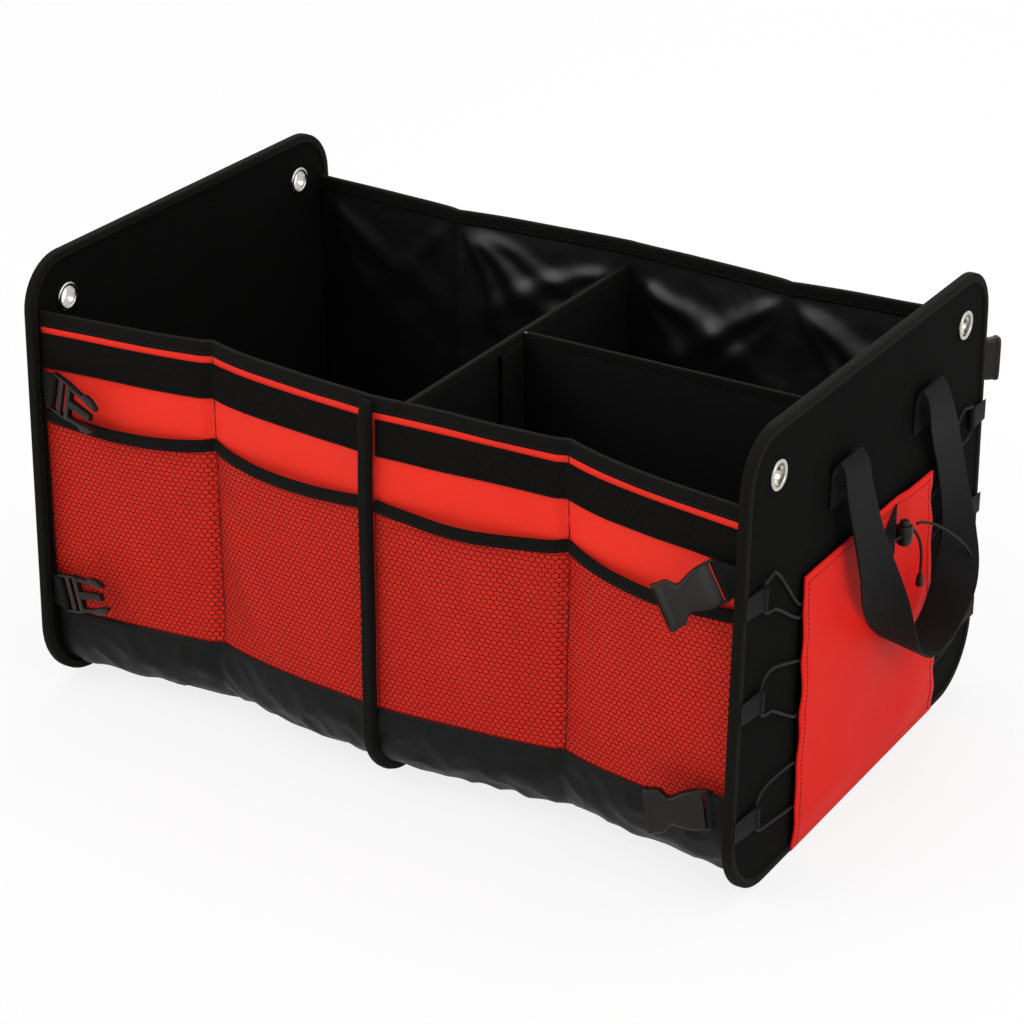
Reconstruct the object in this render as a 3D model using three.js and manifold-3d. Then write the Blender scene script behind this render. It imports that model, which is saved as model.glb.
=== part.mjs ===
// A collapsible car trunk organizer: two stiff end panels, folding cloth walls, a dividing board across the middle and
// one along the right half. Millimetres, +X along the front to the right, +Y to the rear, +Z up. The origin is on the
// floor under the middle of the box.
import * as THREE from 'three';
import { mergeVertices } from 'three/addons/utils/BufferGeometryUtils.js';
import Module from 'manifold-3d';

const wasm = await Module();
wasm.setup();

// Driving dimensions of the box
const BODY_WIDTH = 575; // over the outer faces of the end panels
const PANEL_HEIGHT = 336; // floor to the top of the bound edge
const PANEL_DEPTH_BOTTOM = 386; // over the bound edge, at the floor
const PANEL_DEPTH_TOP = 362;
const CORNER_RADIUS_TOP = 38;
const CORNER_RADIUS_BOTTOM = 50;
const PANEL_BOARD = 5; // board with its felt on both faces
const GAP = 0.3; // between pieces that lie against each other

// Cloth, tape and webbing
const CLOTH = 1.2;
const TAPE = 0.9; // binding tape
const PANEL_BINDING = 7; // how far the tape covers each face of an end panel
const RIM_HEIGHT = 296;
const RIM_BINDING = 11.5;
const SETBACK_TOP = 9; // wall behind the panel's bound edge, at the rim
const SETBACK_BOTTOM = 15;
const BEND_RADIUS = 38; // where the walls turn under the floor
const FLOOR_HEIGHT = 9; // the walls' outer face, under the floor
const CREASE_FRONT = 15; // how far the quarter creases fold in
const CREASE_REAR = 9;
const BAND_HEIGHT = 64; // top of the black cloth that wraps under the floor
const RED_OVERLAP = 6; // how far the front cloth runs down behind that band
const HOOK_TAPE = 26;
const HOOK_TAPE_BELOW_RIM = 16;

// Net pockets
const MOUTH_HEIGHT = 224;
const MOUTH_SAG = 4;
const MOUTH_BINDING = 9.5;
const MOUTH_BINDING_CLOTH = 2.2; // the folded tape over the net's edge
const NET = 1.1;
const NET_BULGE = 3.4;

// Floor, dividers and their seam binding
const BASE_BOARD = 3;
const DIVIDER = 4;
const DIVIDER_HEIGHT = 276.5;
const SEAM_BINDING = 10; // width of the tape down the middle, round the divider's edge
const LONG_DIVIDER = 3;
const LONG_DIVIDER_Y = 20;
const FLAP = 33;
const FLAP_END = 6; // the flap stops this short of the divider's top and foot

// Eyelets
const EYELET_Y = 142;
const EYELET_Z = PANEL_HEIGHT - 36;
const EYELET_FLANGE_R = 12;
const EYELET_BORE_R = 7.5;
const EYELET_WALL = 0.8;
const EYELET_ROLL = 1.9; // height of the rolled flange

// Carrying handles
const HANDLE_WIDTH = 32;
const HANDLE_CLOTH = 1.8;

// Buckles
const WEBBING = 25;
const WEBBING_CLOTH = 1.3;
const BUCKLE_HALF = 14.8;
const RAIL_CLEARANCE = 0.8; // beside the webbing, in the buckle's frame
const BAR_R = 1.5;
const BAR_CLEARANCE = 0.35;
const TAB_LENGTH = 11; // from the panel's tape to the buckle's bar
const LONG_TAB = 23; // the same for the upper buckle at the rear right
const UPPER_BUCKLE_Z = 238;
const LOWER_BUCKLE_Z = 78;
const REAR_RAISED = 12; // the upper buckle at the rear right is sewn this much higher
const RIGHT_LOWERED = 6; // the lower front buckle at the right is sewn this much lower
const LEFT_RAISED = 5; // and those at the left this much higher
const REAR_SWING = 131; // how far that one has swung out from the wall, in degrees
const PLUG_LENGTH = 48;
const PLUG_THICK = 5;
const SOCKET_LENGTH = 43;
const SOCKET_THICK = 9;
const SOCKET_WALL = 1.5;

// Laced sheet on the right end
const SHEET = 1.2;
const SHEET_STANDOFF = 2.9; // the cord runs in this gap
const SHEET_TOP = 212;
const SHEET_FOOT = 2.5;
const SHEET_FRONT_Y = -104;
const SHEET_REAR_TOP_Y = 87;
const SHEET_REAR_FOOT_Y = 122;
const PATCH_Y = [-8, 33];
const PATCH_Z = [164, 208];
const PATCH_CORNER = 9;
const LACE_LOOP_HEIGHTS = [222, 147, 60];
const LACE_LOOP_Y = 160; // the cord's axis in the loops
const LACE_LOOP_WIDTH = 16;
const CORD_R = 1.1;
const CORD_HOLE_Y = 11; // where the cord comes through the patch
const CORD_END_R = 2.9;

// Cord lock
const LOCK = { x: BODY_WIDTH / 2 + 14, y: 28, z: 190 };
const LOCK_R = 6;
const LOCK_BODY = [-9, 6]; // foot and head, from the cord's axis
const LOCK_FLOOR = 1.6;
const PLUNGER_R = 3.6;
const PLUNGER_SIDE = 0.25; // running clearance in the bore
const PLUNGER_TOP = 10;
const PLUNGER_FOOT = -2.4;
const PLUNGER_TRAVEL = 2.5;
const SPRING_TURNS = 3;
const SPRING_R = 2.6;
const SPRING_WIRE_R = 0.35;

const HALF_BODY = BODY_WIDTH / 2;
const PANEL_INNER = HALF_BODY - PANEL_BOARD;
const WALL_END = PANEL_INNER - GAP;
const QUARTER = BODY_WIDTH / 4;
const WALL_TOP = RIM_HEIGHT - TAPE - GAP;
const LINING_OUT = -CLOTH - GAP;
const LINING_IN = LINING_OUT - CLOTH;
const BEND_HEIGHT = FLOOR_HEIGHT + BEND_RADIUS;

const COLOURS = {
  felt: '#161615', tape: '#20201d', red: '#ee3a2f', net: '#b3221b', nylon: '#141414', lining: '#121212',
  webbing: '#1b1a19', plastic: '#2c2927', vinyl: '#dd2a23', nickel: '#c8c6c0', steel: '#b9b9b9', cord: '#1e1d1d',
};
const organizer = new THREE.Group();

const lerp = THREE.MathUtils.lerp;
const rad = THREE.MathUtils.degToRad;
const vec = (x, y, z) => new THREE.Vector3(x, y, z);

// Adds a named piece with its own material.
function add(name, geometry, colour, roughness = 0.8, metalness = 0, parent = organizer) {
  const material = new THREE.MeshStandardMaterial({ color: COLOURS[colour], roughness, metalness });
  const mesh = new THREE.Mesh(geometry, material);
  mesh.name = name;
  parent.add(mesh);
  return mesh;
}

// Keeps position only and merges the shared corners.
function welded(geometry) {
  const plain = geometry.clone();
  plain.deleteAttribute('normal');
  plain.deleteAttribute('uv');
  return mergeVertices(plain, 1e-4);
}

function solid(geometry) {
  const plain = welded(geometry);
  return new wasm.Manifold(new wasm.Mesh({
    numProp: 3,
    vertProperties: new Float32Array(plain.attributes.position.array),
    triVerts: new Uint32Array(plain.index.array),
  }));
}

function fromSolid(body) {
  const mesh = body.getMesh();
  const geometry = new THREE.BufferGeometry();
  geometry.setAttribute('position', new THREE.BufferAttribute(new Float32Array(mesh.vertProperties), 3));
  geometry.setIndex(new THREE.BufferAttribute(new Uint32Array(mesh.triVerts), 1));
  return geometry;
}

// Skins a row of rings, each the same closed outline, and closes both ends with the faces given.
function skin(rings, capFaces) {
  const count = rings[0].length;
  const positions = rings.flat().flatMap((p) => [p.x, p.y, p.z]);
  const faces = [];
  for (let r = 0; r + 1 < rings.length; r += 1) {
    for (let i = 0; i < count; i += 1) {
      const j = (i + 1) % count;
      const [a, b, c, d] = [r * count + i, r * count + j, (r + 1) * count + j, (r + 1) * count + i];
      faces.push([a, b, c], [a, c, d]);
    }
  }
  const last = (rings.length - 1) * count;
  for (const [a, b, c] of capFaces) {
    faces.push([a, c, b], [last + a, last + b, last + c]);
  }
  let volume = 0;
  const point = (i) => vec(positions[3 * i], positions[3 * i + 1], positions[3 * i + 2]);
  for (const [a, b, c] of faces) {
    volume += point(a).dot(point(b).cross(point(c)));
  }
  const geometry = new THREE.BufferGeometry();
  geometry.setAttribute('position', new THREE.Float32BufferAttribute(positions, 3));
  geometry.setIndex(faces.flatMap(([a, b, c]) => (volume > 0 ? [a, b, c] : [a, c, b])));
  return geometry;
}

// A skin whose rings lie across X: the end caps come from the first ring's own outline, in the ring's direction.
function skinAcross(stations, ring) {
  const rings = stations.map(ring);
  const outline = rings[0].map((p) => new THREE.Vector2(p.y, p.z));
  const faces = THREE.ShapeUtils.triangulateShape(outline, []);
  return skin(rings, faces.map((face) => face.toSorted((a, b) => a - b)));
}

const QUAD_CAP = [[0, 1, 2], [0, 2, 3]];

// Places a shape drawn in (y, z) with its thickness along X, from x0 on.
function acrossX(shape, x0, depth, curveSegments = 8) {
  const geometry = new THREE.ExtrudeGeometry(shape, { depth, bevelEnabled: false, curveSegments });
  const turn = new THREE.Matrix4().makeBasis(vec(0, 1, 0), vec(0, 0, 1), vec(1, 0, 0));
  return geometry.applyMatrix4(turn).translate(x0, 0, 0);
}

// The end panel's outline in (y, z), inset from the bound edge.
const LEAN = (PANEL_DEPTH_BOTTOM - PANEL_DEPTH_TOP) / 2 / PANEL_HEIGHT;
const panelHalf = (z) => PANEL_DEPTH_BOTTOM / 2 - z * LEAN;

function panelOutline(inset, Kind = THREE.Shape) {
  const lean = Math.atan(LEAN);
  const corner = (radius, z) => {
    const r = radius - inset;
    const centreZ = z > 0 ? PANEL_HEIGHT - inset - r : inset + r;
    return [panelHalf(centreZ) - (inset + r) / Math.cos(lean), centreZ, r];
  };
  const [bottomY, bottomZ, bottomR] = corner(CORNER_RADIUS_BOTTOM, 0);
  const [topY, topZ, topR] = corner(CORNER_RADIUS_TOP, 1);
  const outline = new Kind();
  outline.absarc(bottomY, bottomZ, bottomR, -Math.PI / 2, lean);
  outline.absarc(topY, topZ, topR, lean, Math.PI / 2);
  outline.absarc(-topY, topZ, topR, Math.PI / 2, Math.PI - lean);
  outline.absarc(-bottomY, bottomZ, bottomR, Math.PI - lean, 1.5 * Math.PI);
  outline.closePath();
  return outline;
}

// End panels: a felt-covered board, the tape bound round its edge and two eyelets near the top.
function eyelet() {
  const face = PANEL_BOARD / 2 + GAP;
  const barrel = EYELET_BORE_R + EYELET_WALL;
  const half = [
    [EYELET_BORE_R, face + 0.6 * EYELET_ROLL],
    [barrel + 0.4, face + EYELET_ROLL],
    [(barrel + EYELET_FLANGE_R) / 2 + 0.4, face + EYELET_ROLL],
    [EYELET_FLANGE_R - GAP, face + 0.6 * EYELET_ROLL],
    [EYELET_FLANGE_R, face],
    [barrel, face],
  ];
  const profile = [...half, ...half.toReversed().map(([r, h]) => [r, -h])];
  const points = [...profile, profile[0]].toReversed().map(([r, h]) => new THREE.Vector2(r, h));
  return new THREE.LatheGeometry(points, 18).rotateZ(Math.PI / 2);
}

function endPanel(side, word) {
  const middle = side * (HALF_BODY - PANEL_BOARD / 2);
  const board = panelOutline(TAPE + GAP);
  for (const y of [-EYELET_Y, EYELET_Y]) {
    board.holes.push(new THREE.Path().absarc(y, EYELET_Z, EYELET_BORE_R + EYELET_WALL + GAP, 0, 2 * Math.PI));
  }
  add(`${word}_end_panel`, acrossX(board, middle - PANEL_BOARD / 2, PANEL_BOARD), 'felt', 0.95);

  const ring = panelOutline(0);
  ring.holes.push(panelOutline(PANEL_BINDING, THREE.Path));
  const outer = PANEL_BOARD + 2 * (GAP + TAPE);
  const slot = PANEL_BOARD + 2 * GAP;
  const binding = solid(acrossX(ring, middle - outer / 2, outer))
    .subtract(solid(acrossX(panelOutline(TAPE), middle - slot / 2, slot)));
  add(`${word}_panel_binding`, fromSolid(binding), 'tape', 0.9);

  for (const [y, place] of [[-EYELET_Y, 'front'], [EYELET_Y, 'rear']]) {
    const mesh = add(`eyelet_${place}_${word}`, eyelet(), 'nickel', 0.25, 1);
    mesh.position.set(middle, y, EYELET_Z);
  }
}
endPanel(-1, 'left');
endPanel(1, 'right');

// The cloth walls. A point is given by the wall's side, its x, how far it lies outside the wall's outer face, and its
// height; below the bend it follows the turn under the floor, where 'height' is an angle instead.
function foldIn(side, x) {
  const share = 1 - Math.abs(Math.abs(x) - QUARTER) / QUARTER;
  return (side < 0 ? CREASE_FRONT : CREASE_REAR) * share;
}

function wallFace(side, x, z) {
  return panelHalf(z) - lerp(SETBACK_BOTTOM, SETBACK_TOP, z / RIM_HEIGHT) - foldIn(side, x);
}

const onWall = (side, x, out, z) => vec(x, side * (wallFace(side, x, z) + out), z);

function onBend(side, x, out, angle) {
  const reach = BEND_RADIUS + out;
  const centre = wallFace(side, x, BEND_HEIGHT) - BEND_RADIUS;
  return vec(x, side * (centre + reach * Math.cos(angle)), BEND_HEIGHT - reach * Math.sin(angle));
}

const bendAngles = (last, count) => Array.from({ length: count + 1 }, (_, i) => (last * i) / count);
const FULL_BEND = bendAngles(Math.PI / 2, 5);

// X stations that take in the creases and the middle.
function stations(from, to, perQuarter = 1) {
  const step = QUARTER / perQuarter;
  const inner = [];
  for (let k = Math.ceil((from + 1) / step); k * step < to - 1; k += 1) {
    inner.push(k * step);
  }
  return [from, ...inner, to];
}

const ALL_ALONG = stations(-WALL_END, WALL_END);

// A flat strip on a wall, between two heights that may change along it.
function strip(side, along, inner, outer, low, high) {
  return skinAcross(along, (x) => [
    onWall(side, x, inner(x), low(x)), onWall(side, x, outer(x), low(x)),
    onWall(side, x, outer(x), high(x)), onWall(side, x, inner(x), high(x)),
  ]);
}
const always = (value) => () => value;

function lining(side) {
  const angles = bendAngles(rad(72), 4);
  return skinAcross(ALL_ALONG, (x) => [
    onWall(side, x, LINING_OUT, WALL_TOP),
    ...angles.map((a) => onBend(side, x, LINING_OUT, a)),
    ...angles.toReversed().map((a) => onBend(side, x, LINING_IN, a)),
    onWall(side, x, LINING_IN, WALL_TOP),
  ]);
}

function rimBinding(side) {
  const out = TAPE + GAP;
  const inside = LINING_IN - GAP;
  const low = RIM_HEIGHT - RIM_BINDING;
  const section = [
    [out, low], [out, RIM_HEIGHT], [inside - TAPE, RIM_HEIGHT], [inside - TAPE, low],
    [inside, low], [inside, RIM_HEIGHT - TAPE], [GAP, RIM_HEIGHT - TAPE], [GAP, low],
  ];
  return skinAcross(ALL_ALONG, (x) => section.map(([o, z]) => onWall(side, x, o, z)));
}

const RED_FOOT = BAND_HEIGHT - RED_OVERLAP;
for (const [side, word, colour] of [[-1, 'front', 'red'], [1, 'rear', 'nylon']]) {
  const wall = strip(side, ALL_ALONG, always(-CLOTH), always(0), always(RED_FOOT), always(WALL_TOP));
  add(`${word}_wall`, wall, colour, 0.85);
  add(`${word}_lining`, lining(side), 'lining', 0.5);
  add(`${word}_rim_binding`, rimBinding(side), 'tape', 0.9);
}

// The black cloth that wraps under the floor, from one wall to the other, and the two boards that lie on it.
const BAND_IN = GAP;
const BAND_OUT = GAP + CLOTH;
const underside = skinAcross(ALL_ALONG, (x) => {
  const layer = (side, out) => [onWall(side, x, out, BAND_HEIGHT), ...FULL_BEND.map((a) => onBend(side, x, out, a))];
  return [
    ...layer(-1, BAND_OUT), ...layer(1, BAND_OUT).toReversed(),
    ...layer(1, BAND_IN), ...layer(-1, BAND_IN).toReversed(),
  ];
});
add('base_cloth', underside, 'nylon', 0.7);

const floorHalf = wallFace(-1, QUARTER, BEND_HEIGHT) - BEND_RADIUS - 2 * GAP;
const BOARD_LEVEL = FLOOR_HEIGHT;
const boardSide = DIVIDER / 2 + GAP;
const baseBoard = () => new THREE.BoxGeometry(WALL_END - boardSide, 2 * floorHalf, BASE_BOARD)
  .translate((WALL_END + boardSide) / 2, 0, BOARD_LEVEL + BASE_BOARD / 2);
add('base_board_right', baseBoard(), 'lining', 0.7);
add('base_board_left', baseBoard().rotateZ(Math.PI), 'lining', 0.7);

// The dividing board across the middle, cut to the inside of the walls, with the seam tape round the outside.
function dividerOutline() {
  const out = LINING_IN - TAPE - 2 * GAP;
  const shape = new THREE.Shape();
  const right = [onWall(1, 0, out, DIVIDER_HEIGHT), ...FULL_BEND.map((a) => onBend(1, 0, out, a))];
  const centre = wallFace(1, 0, BEND_HEIGHT) - BEND_RADIUS;
  const outline = [...right, vec(0, centre, BOARD_LEVEL), vec(0, -centre, BOARD_LEVEL)];
  outline.push(...right.toReversed().map((p) => vec(0, -p.y, p.z)));
  shape.setFromPoints(outline.map((p) => new THREE.Vector2(p.y, p.z)));
  return shape;
}
add('centre_divider', acrossX(dividerOutline(), -DIVIDER / 2, DIVIDER), 'lining', 0.6);

const SEAM_OUT = FLOOR_HEIGHT;
const seamTape = skinAcross([-SEAM_BINDING / 2, SEAM_BINDING / 2], (x) => {
  const top = RIM_HEIGHT - GAP;
  const underRim = RIM_HEIGHT - RIM_BINDING - GAP;
  const overRim = TAPE + 2 * GAP;
  const overBand = BAND_OUT + GAP;
  const outside = (side) => [onWall(side, 0, SEAM_OUT, top), ...FULL_BEND.map((a) => onBend(side, 0, SEAM_OUT, a))];
  const inside = (side) => [
    onWall(side, 0, overRim, top), onWall(side, 0, overRim, underRim), onWall(side, 0, GAP, underRim),
    onWall(side, 0, GAP, BAND_HEIGHT + GAP), onWall(side, 0, overBand, BAND_HEIGHT + GAP),
    ...FULL_BEND.map((a) => onBend(side, 0, overBand, a)),
  ];
  const outline = [...outside(-1), ...outside(1).toReversed(), ...inside(1), ...inside(-1).toReversed()];
  return outline.map((p) => vec(x, p.y, p.z));
});
add('centre_seam_binding', seamTape, 'tape', 0.9);

// Hook tape, net pockets and the tape on their mouths, left and right of the seam tape.
const seamSide = SEAM_BINDING / 2 + GAP;
const acrossPocket = (x) => Math.sin((Math.PI * (Math.abs(x) % QUARTER)) / QUARTER);
const mouth = (x) => MOUTH_HEIGHT - MOUTH_SAG * acrossPocket(x);
const fullness = (x, share) => NET_BULGE * acrossPocket(x) * Math.sqrt(Math.max(0, share));

function net(along) {
  const foot = BAND_HEIGHT + GAP;
  const shares = [0, 0.25, 0.6, 1];
  return skinAcross(along, (x) => {
    const head = mouth(x) - MOUTH_BINDING - GAP;
    const layer = (out) => shares.map((s) => onWall(-1, x, out + fullness(x, s), lerp(foot, head, s)));
    return [...layer(GAP + NET), ...layer(GAP).toReversed()];
  });
}

for (const [from, to, word] of [[-WALL_END, -seamSide, 'left'], [seamSide, WALL_END, 'right']]) {
  const plain = stations(from, to);
  const fine = stations(from, to, 4);
  const tapeTop = RIM_HEIGHT - HOOK_TAPE_BELOW_RIM;
  const tape = strip(-1, plain, always(GAP), always(GAP + CLOTH), always(tapeTop - HOOK_TAPE), always(tapeTop));
  add(`hook_tape_${word}`, tape, 'webbing', 0.95);
  add(`net_pocket_${word}`, net(fine), 'net', 0.8);
  const inner = (x) => GAP + fullness(x, 1);
  const outer = (x) => inner(x) + MOUTH_BINDING_CLOTH;
  const binding = strip(-1, fine, inner, outer, (x) => mouth(x) - MOUTH_BINDING, mouth);
  add(`pocket_binding_${word}`, binding, 'tape', 0.9);
}

// The divider along the right half, with a hook-and-loop flap at each end.
const longTop = DIVIDER_HEIGHT - GAP;
const longFoot = BOARD_LEVEL + BASE_BOARD + GAP;
const longFrom = DIVIDER / 2 + GAP;
const box = (x0, x1, y0, y1, z0, z1) => new THREE.BoxGeometry(x1 - x0, y1 - y0, z1 - z0)
  .translate((x0 + x1) / 2, (y0 + y1) / 2, (z0 + z1) / 2);
const longFace = LONG_DIVIDER_Y - LONG_DIVIDER / 2;
add('long_divider', box(longFrom, WALL_END, longFace, longFace + LONG_DIVIDER, longFoot, longTop), 'lining', 0.5);
for (const [x, word] of [[longFrom, 'inner'], [WALL_END - CLOTH, 'outer']]) {
  const flap = box(x, x + CLOTH, longFace - GAP - FLAP, longFace - GAP, longFoot + FLAP_END, longTop - FLAP_END);
  add(`divider_flap_${word}`, flap, 'webbing', 0.9);
}

// A strap with its middle line, and at each point the direction of its width.
function strap(points, widths, width, thick, steps) {
  const line = new THREE.CatmullRomCurve3(points, false, 'centripetal');
  const turn = new THREE.CatmullRomCurve3(widths, false, 'catmullrom', 0.5);
  const rings = [];
  for (let i = 0; i <= steps; i += 1) {
    const t = i / steps;
    const middle = line.getPoint(t);
    const along = line.getTangent(t);
    const side = turn.getPoint(t);
    side.addScaledVector(along, -side.dot(along)).normalize();
    const up = new THREE.Vector3().crossVectors(along, side).normalize();
    rings.push([[-1, -1], [1, -1], [1, 1], [-1, 1]].map(([u, v]) => middle.clone()
      .addScaledVector(side, (u * width) / 2).addScaledVector(up, (v * thick) / 2)));
  }
  return skin(rings, QUAD_CAP);
}

// The handle's route on the right end: sewn flat, folded over and hanging in a loop that twists edge-out at its foot.
const handleFace = HALF_BODY + GAP + HANDLE_CLOTH / 2;
const HANDLE_ROUTE = [
  // x, y, z, then the heading of its width in the floor plane, in degrees from +X
  [handleFace + 0.1, -50, 244, 90], [handleFace + 0.2, -50, 262, 90], [handleFace + 1.4, -50, 272, 90],
  [handleFace + 5, -49.5, 277, 90], [handleFace + 9, -49, 272, 88], [handleFace + 11, -46, 255, 82],
  [handleFace + 14.5, -39, 226, 66], [handleFace + 19, -29, 190, 38], [handleFace + 21.5, -12, 150, 8],
  [handleFace + 21.5, 12, 115, -12], [handleFace + 21, 44, 97, -24], [handleFace + 21.5, 76, 100, -10],
  [handleFace + 20.5, 104, 122, 24], [handleFace + 15, 119, 150, 62], [handleFace + 9.5, 116, 190, 80],
  [handleFace + 8.5, 102, 228, 85], [handleFace + 10, 84, 258, 88], [handleFace + 8.5, 79, 274, 90],
  [handleFace + 4.5, 78, 280, 90], [handleFace + 1.4, 78, 275, 90], [handleFace + 0.2, 78, 265, 90],
  [handleFace + 0.1, 78, 247, 90],
];

function handle(side) {
  const points = HANDLE_ROUTE.map(([x, y, z]) => vec(side * x, y, z));
  const widths = HANDLE_ROUTE.map(([, , , heading]) => vec(side * Math.cos(rad(heading)), Math.sin(rad(heading)), 0));
  return strap(points, widths, HANDLE_WIDTH, HANDLE_CLOTH, 44);
}
add('right_handle', handle(1), 'webbing', 0.85);
add('left_handle', handle(-1), 'webbing', 0.85);

// The laced sheet: smooth vinyl, sewn along its foot and held by elastic cord at both sides.
const sheetX = HALF_BODY + SHEET_STANDOFF;
const sheetFootX = HALF_BODY + GAP + TAPE + GAP;
const sheetRear = (z) => lerp(SHEET_REAR_FOOT_Y, SHEET_REAR_TOP_Y, (z - SHEET_FOOT) / (SHEET_TOP - SHEET_FOOT));
const SHEET_LEVELS = [[sheetX, SHEET_TOP], [sheetX, 150], [sheetX, 90], [sheetX, 40], [sheetX - 0.7, 16],
  [sheetFootX, SHEET_FOOT]];
const sheetRings = SHEET_LEVELS.map(([x, z]) => [
  vec(x, SHEET_FRONT_Y, z), vec(x, sheetRear(z), z), vec(x + SHEET, sheetRear(z), z), vec(x + SHEET, SHEET_FRONT_Y, z),
]);
const cordHole = CORD_R + GAP;
const needle = solid(new THREE.CylinderGeometry(cordHole, cordHole, 40, 12).rotateZ(Math.PI / 2)
  .translate(sheetX, CORD_HOLE_Y, LOCK.z));
add('laced_sheet', fromSolid(solid(skin(sheetRings, QUAD_CAP)).subtract(needle)), 'vinyl', 0.45);

const patch = new THREE.Shape();
patch.moveTo(PATCH_Y[0], PATCH_Z[1]);
patch.absarc(PATCH_Y[0] + PATCH_CORNER, PATCH_Z[0] + PATCH_CORNER, PATCH_CORNER, Math.PI, 1.5 * Math.PI);
patch.absarc(PATCH_Y[1] - PATCH_CORNER, PATCH_Z[0] + PATCH_CORNER, PATCH_CORNER, -Math.PI / 2, 0);
patch.lineTo(PATCH_Y[1], PATCH_Z[1]);
patch.closePath();
const patchCloth = solid(acrossX(patch, sheetX + SHEET + GAP, CLOTH, 3)).subtract(needle);
add('cord_patch', fromSolid(patchCloth), 'webbing', 0.9);

// Webbing folded round a hole, drawn in plan: the hole is at the origin and the tail runs along -X.
function foldedWebbing(hole, tail, height) {
  const cloth = WEBBING_CLOTH;
  const outer = hole + cloth;
  const meet = Math.asin(cloth / outer);
  const shape = new THREE.Shape();
  shape.moveTo(-tail, -cloth);
  shape.absarc(0, 0, outer, meet - Math.PI, Math.PI - meet);
  shape.lineTo(-tail, cloth);
  shape.closePath();
  shape.holes.push(new THREE.Path().absarc(0, 0, hole, 0, 2 * Math.PI));
  return new THREE.ExtrudeGeometry(shape, { depth: height, bevelEnabled: false, curveSegments: 8 })
    .translate(0, 0, -height / 2);
}

// Lacing loops, sewn to the panel's bound edge, front and rear.
const laceX = HALF_BODY + GAP + cordHole + WEBBING_CLOTH;
for (const [side, place] of [[-1, 'front'], [1, 'rear']]) {
  LACE_LOOP_HEIGHTS.forEach((z, i) => {
    const tail = panelHalf(z) - PANEL_BINDING / 2 - LACE_LOOP_Y;
    const loop = foldedWebbing(cordHole, tail, LACE_LOOP_WIDTH).rotateZ((-side * Math.PI) / 2);
    add(`lace_loop_${place}_${i + 1}`, loop, 'webbing', 0.9).position.set(laceX, side * LACE_LOOP_Y, z);
  });
}

// Cord lock: a barrel, a sprung plunger in its bore, and the cord through both.
const upright = (points, segments) => new THREE.LatheGeometry(
  points.map(([r, h]) => new THREE.Vector2(r, h)), segments).rotateX(Math.PI / 2);
const bore = PLUNGER_R + PLUNGER_SIDE;
const boreFloor = LOCK_BODY[0] + LOCK_FLOOR;
const barrelProfile = [
  [0, LOCK_BODY[0]], [0.55 * LOCK_R, LOCK_BODY[0] + 0.5], [0.9 * LOCK_R, LOCK_BODY[0] + 2.6],
  [LOCK_R, LOCK_BODY[0] / 3], [LOCK_R, LOCK_BODY[1] - 1], [LOCK_R - 1, LOCK_BODY[1]],
  [bore, LOCK_BODY[1]], [bore, boreFloor], [0, boreFloor],
];
const crossHole = solid(new THREE.CylinderGeometry(cordHole, cordHole, 4 * LOCK_R, 12));
const lock = new THREE.Group();
lock.position.set(LOCK.x, LOCK.y, LOCK.z);
organizer.add(lock);
const barrelBody = solid(upright(barrelProfile, 18)).subtract(crossHole);
add('cord_lock_barrel', fromSolid(barrelBody), 'plastic', 0.4, 0, lock);

const plungerProfile = [[0, PLUNGER_FOOT], [PLUNGER_R, PLUNGER_FOOT], [PLUNGER_R, PLUNGER_TOP - 1],
  [PLUNGER_R - 1, PLUNGER_TOP], [0, PLUNGER_TOP]];
const slot = solid(box(-cordHole, cordHole, -bore, bore, -cordHole, PLUNGER_TRAVEL + cordHole));
const plunger = solid(upright(plungerProfile, 16)).subtract(slot);
add('cord_lock_plunger', fromSolid(plunger), 'plastic', 0.4, 0, lock);

const coils = SPRING_TURNS * 8;
const springLow = boreFloor + GAP + SPRING_WIRE_R;
const springHigh = PLUNGER_FOOT - GAP - SPRING_WIRE_R;
const springRings = Array.from({ length: coils + 1 }, (_, i) => {
  const turn = (i / 8) * 2 * Math.PI;
  return [0, 1, 2, 3, 4].map((k) => {
    const around = (k / 5) * 2 * Math.PI;
    const r = SPRING_R + SPRING_WIRE_R * Math.cos(around);
    const rise = lerp(springLow, springHigh, i / coils) + SPRING_WIRE_R * Math.sin(around);
    return vec(r * Math.cos(turn), r * Math.sin(turn), rise);
  });
});
add('cord_lock_spring', skin(springRings, [[0, 1, 2], [0, 2, 3], [0, 3, 4]]), 'steel', 0.3, 1, lock);

// The elastic cord, with points set by hand: from its end piece up through the lock and the hole in the patch, behind
// the sheet, down the front loops, up behind the sheet, down the rear loops, and over the handle back to the lock.
const behind = HALF_BODY + 2 * GAP + CORD_R;
const half = LACE_LOOP_WIDTH / 2;

// One loop's lacing from the top down: the heights are those at which the cord leaves the sheet's edge.
function lacing(side, z, high, low) {
  const edge = side < 0 ? SHEET_FRONT_Y : sheetRear((high + low) / 2);
  const y = (beyond) => edge + side * beyond;
  const turn = side * LACE_LOOP_Y;
  return [
    [behind, y(-8), high - 1], [behind, y(3), high + 1],
    [laceX, turn - side * 26, lerp(high, z + half + 8, 0.75)], [laceX, turn - side * 12, z + half + 9],
    [laceX, turn - side * 3.5, z + half + 6], [laceX, turn - side * 0.5, z + half + 2], [laceX, turn, z + half],
    [laceX, turn, z - half], [laceX, turn - side * 0.8, z - half - 2.2], [laceX, turn - side * 4, z - half - 5.5],
    [laceX, turn - side * 14, z - half - 7.5], [laceX, turn - side * 28, lerp(low, z - half - 8, 0.7)],
    [behind, y(3), low + 1], [behind, y(-8), low],
  ];
}
const [loop1, loop2, loop3] = LACE_LOOP_HEIGHTS;
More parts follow.
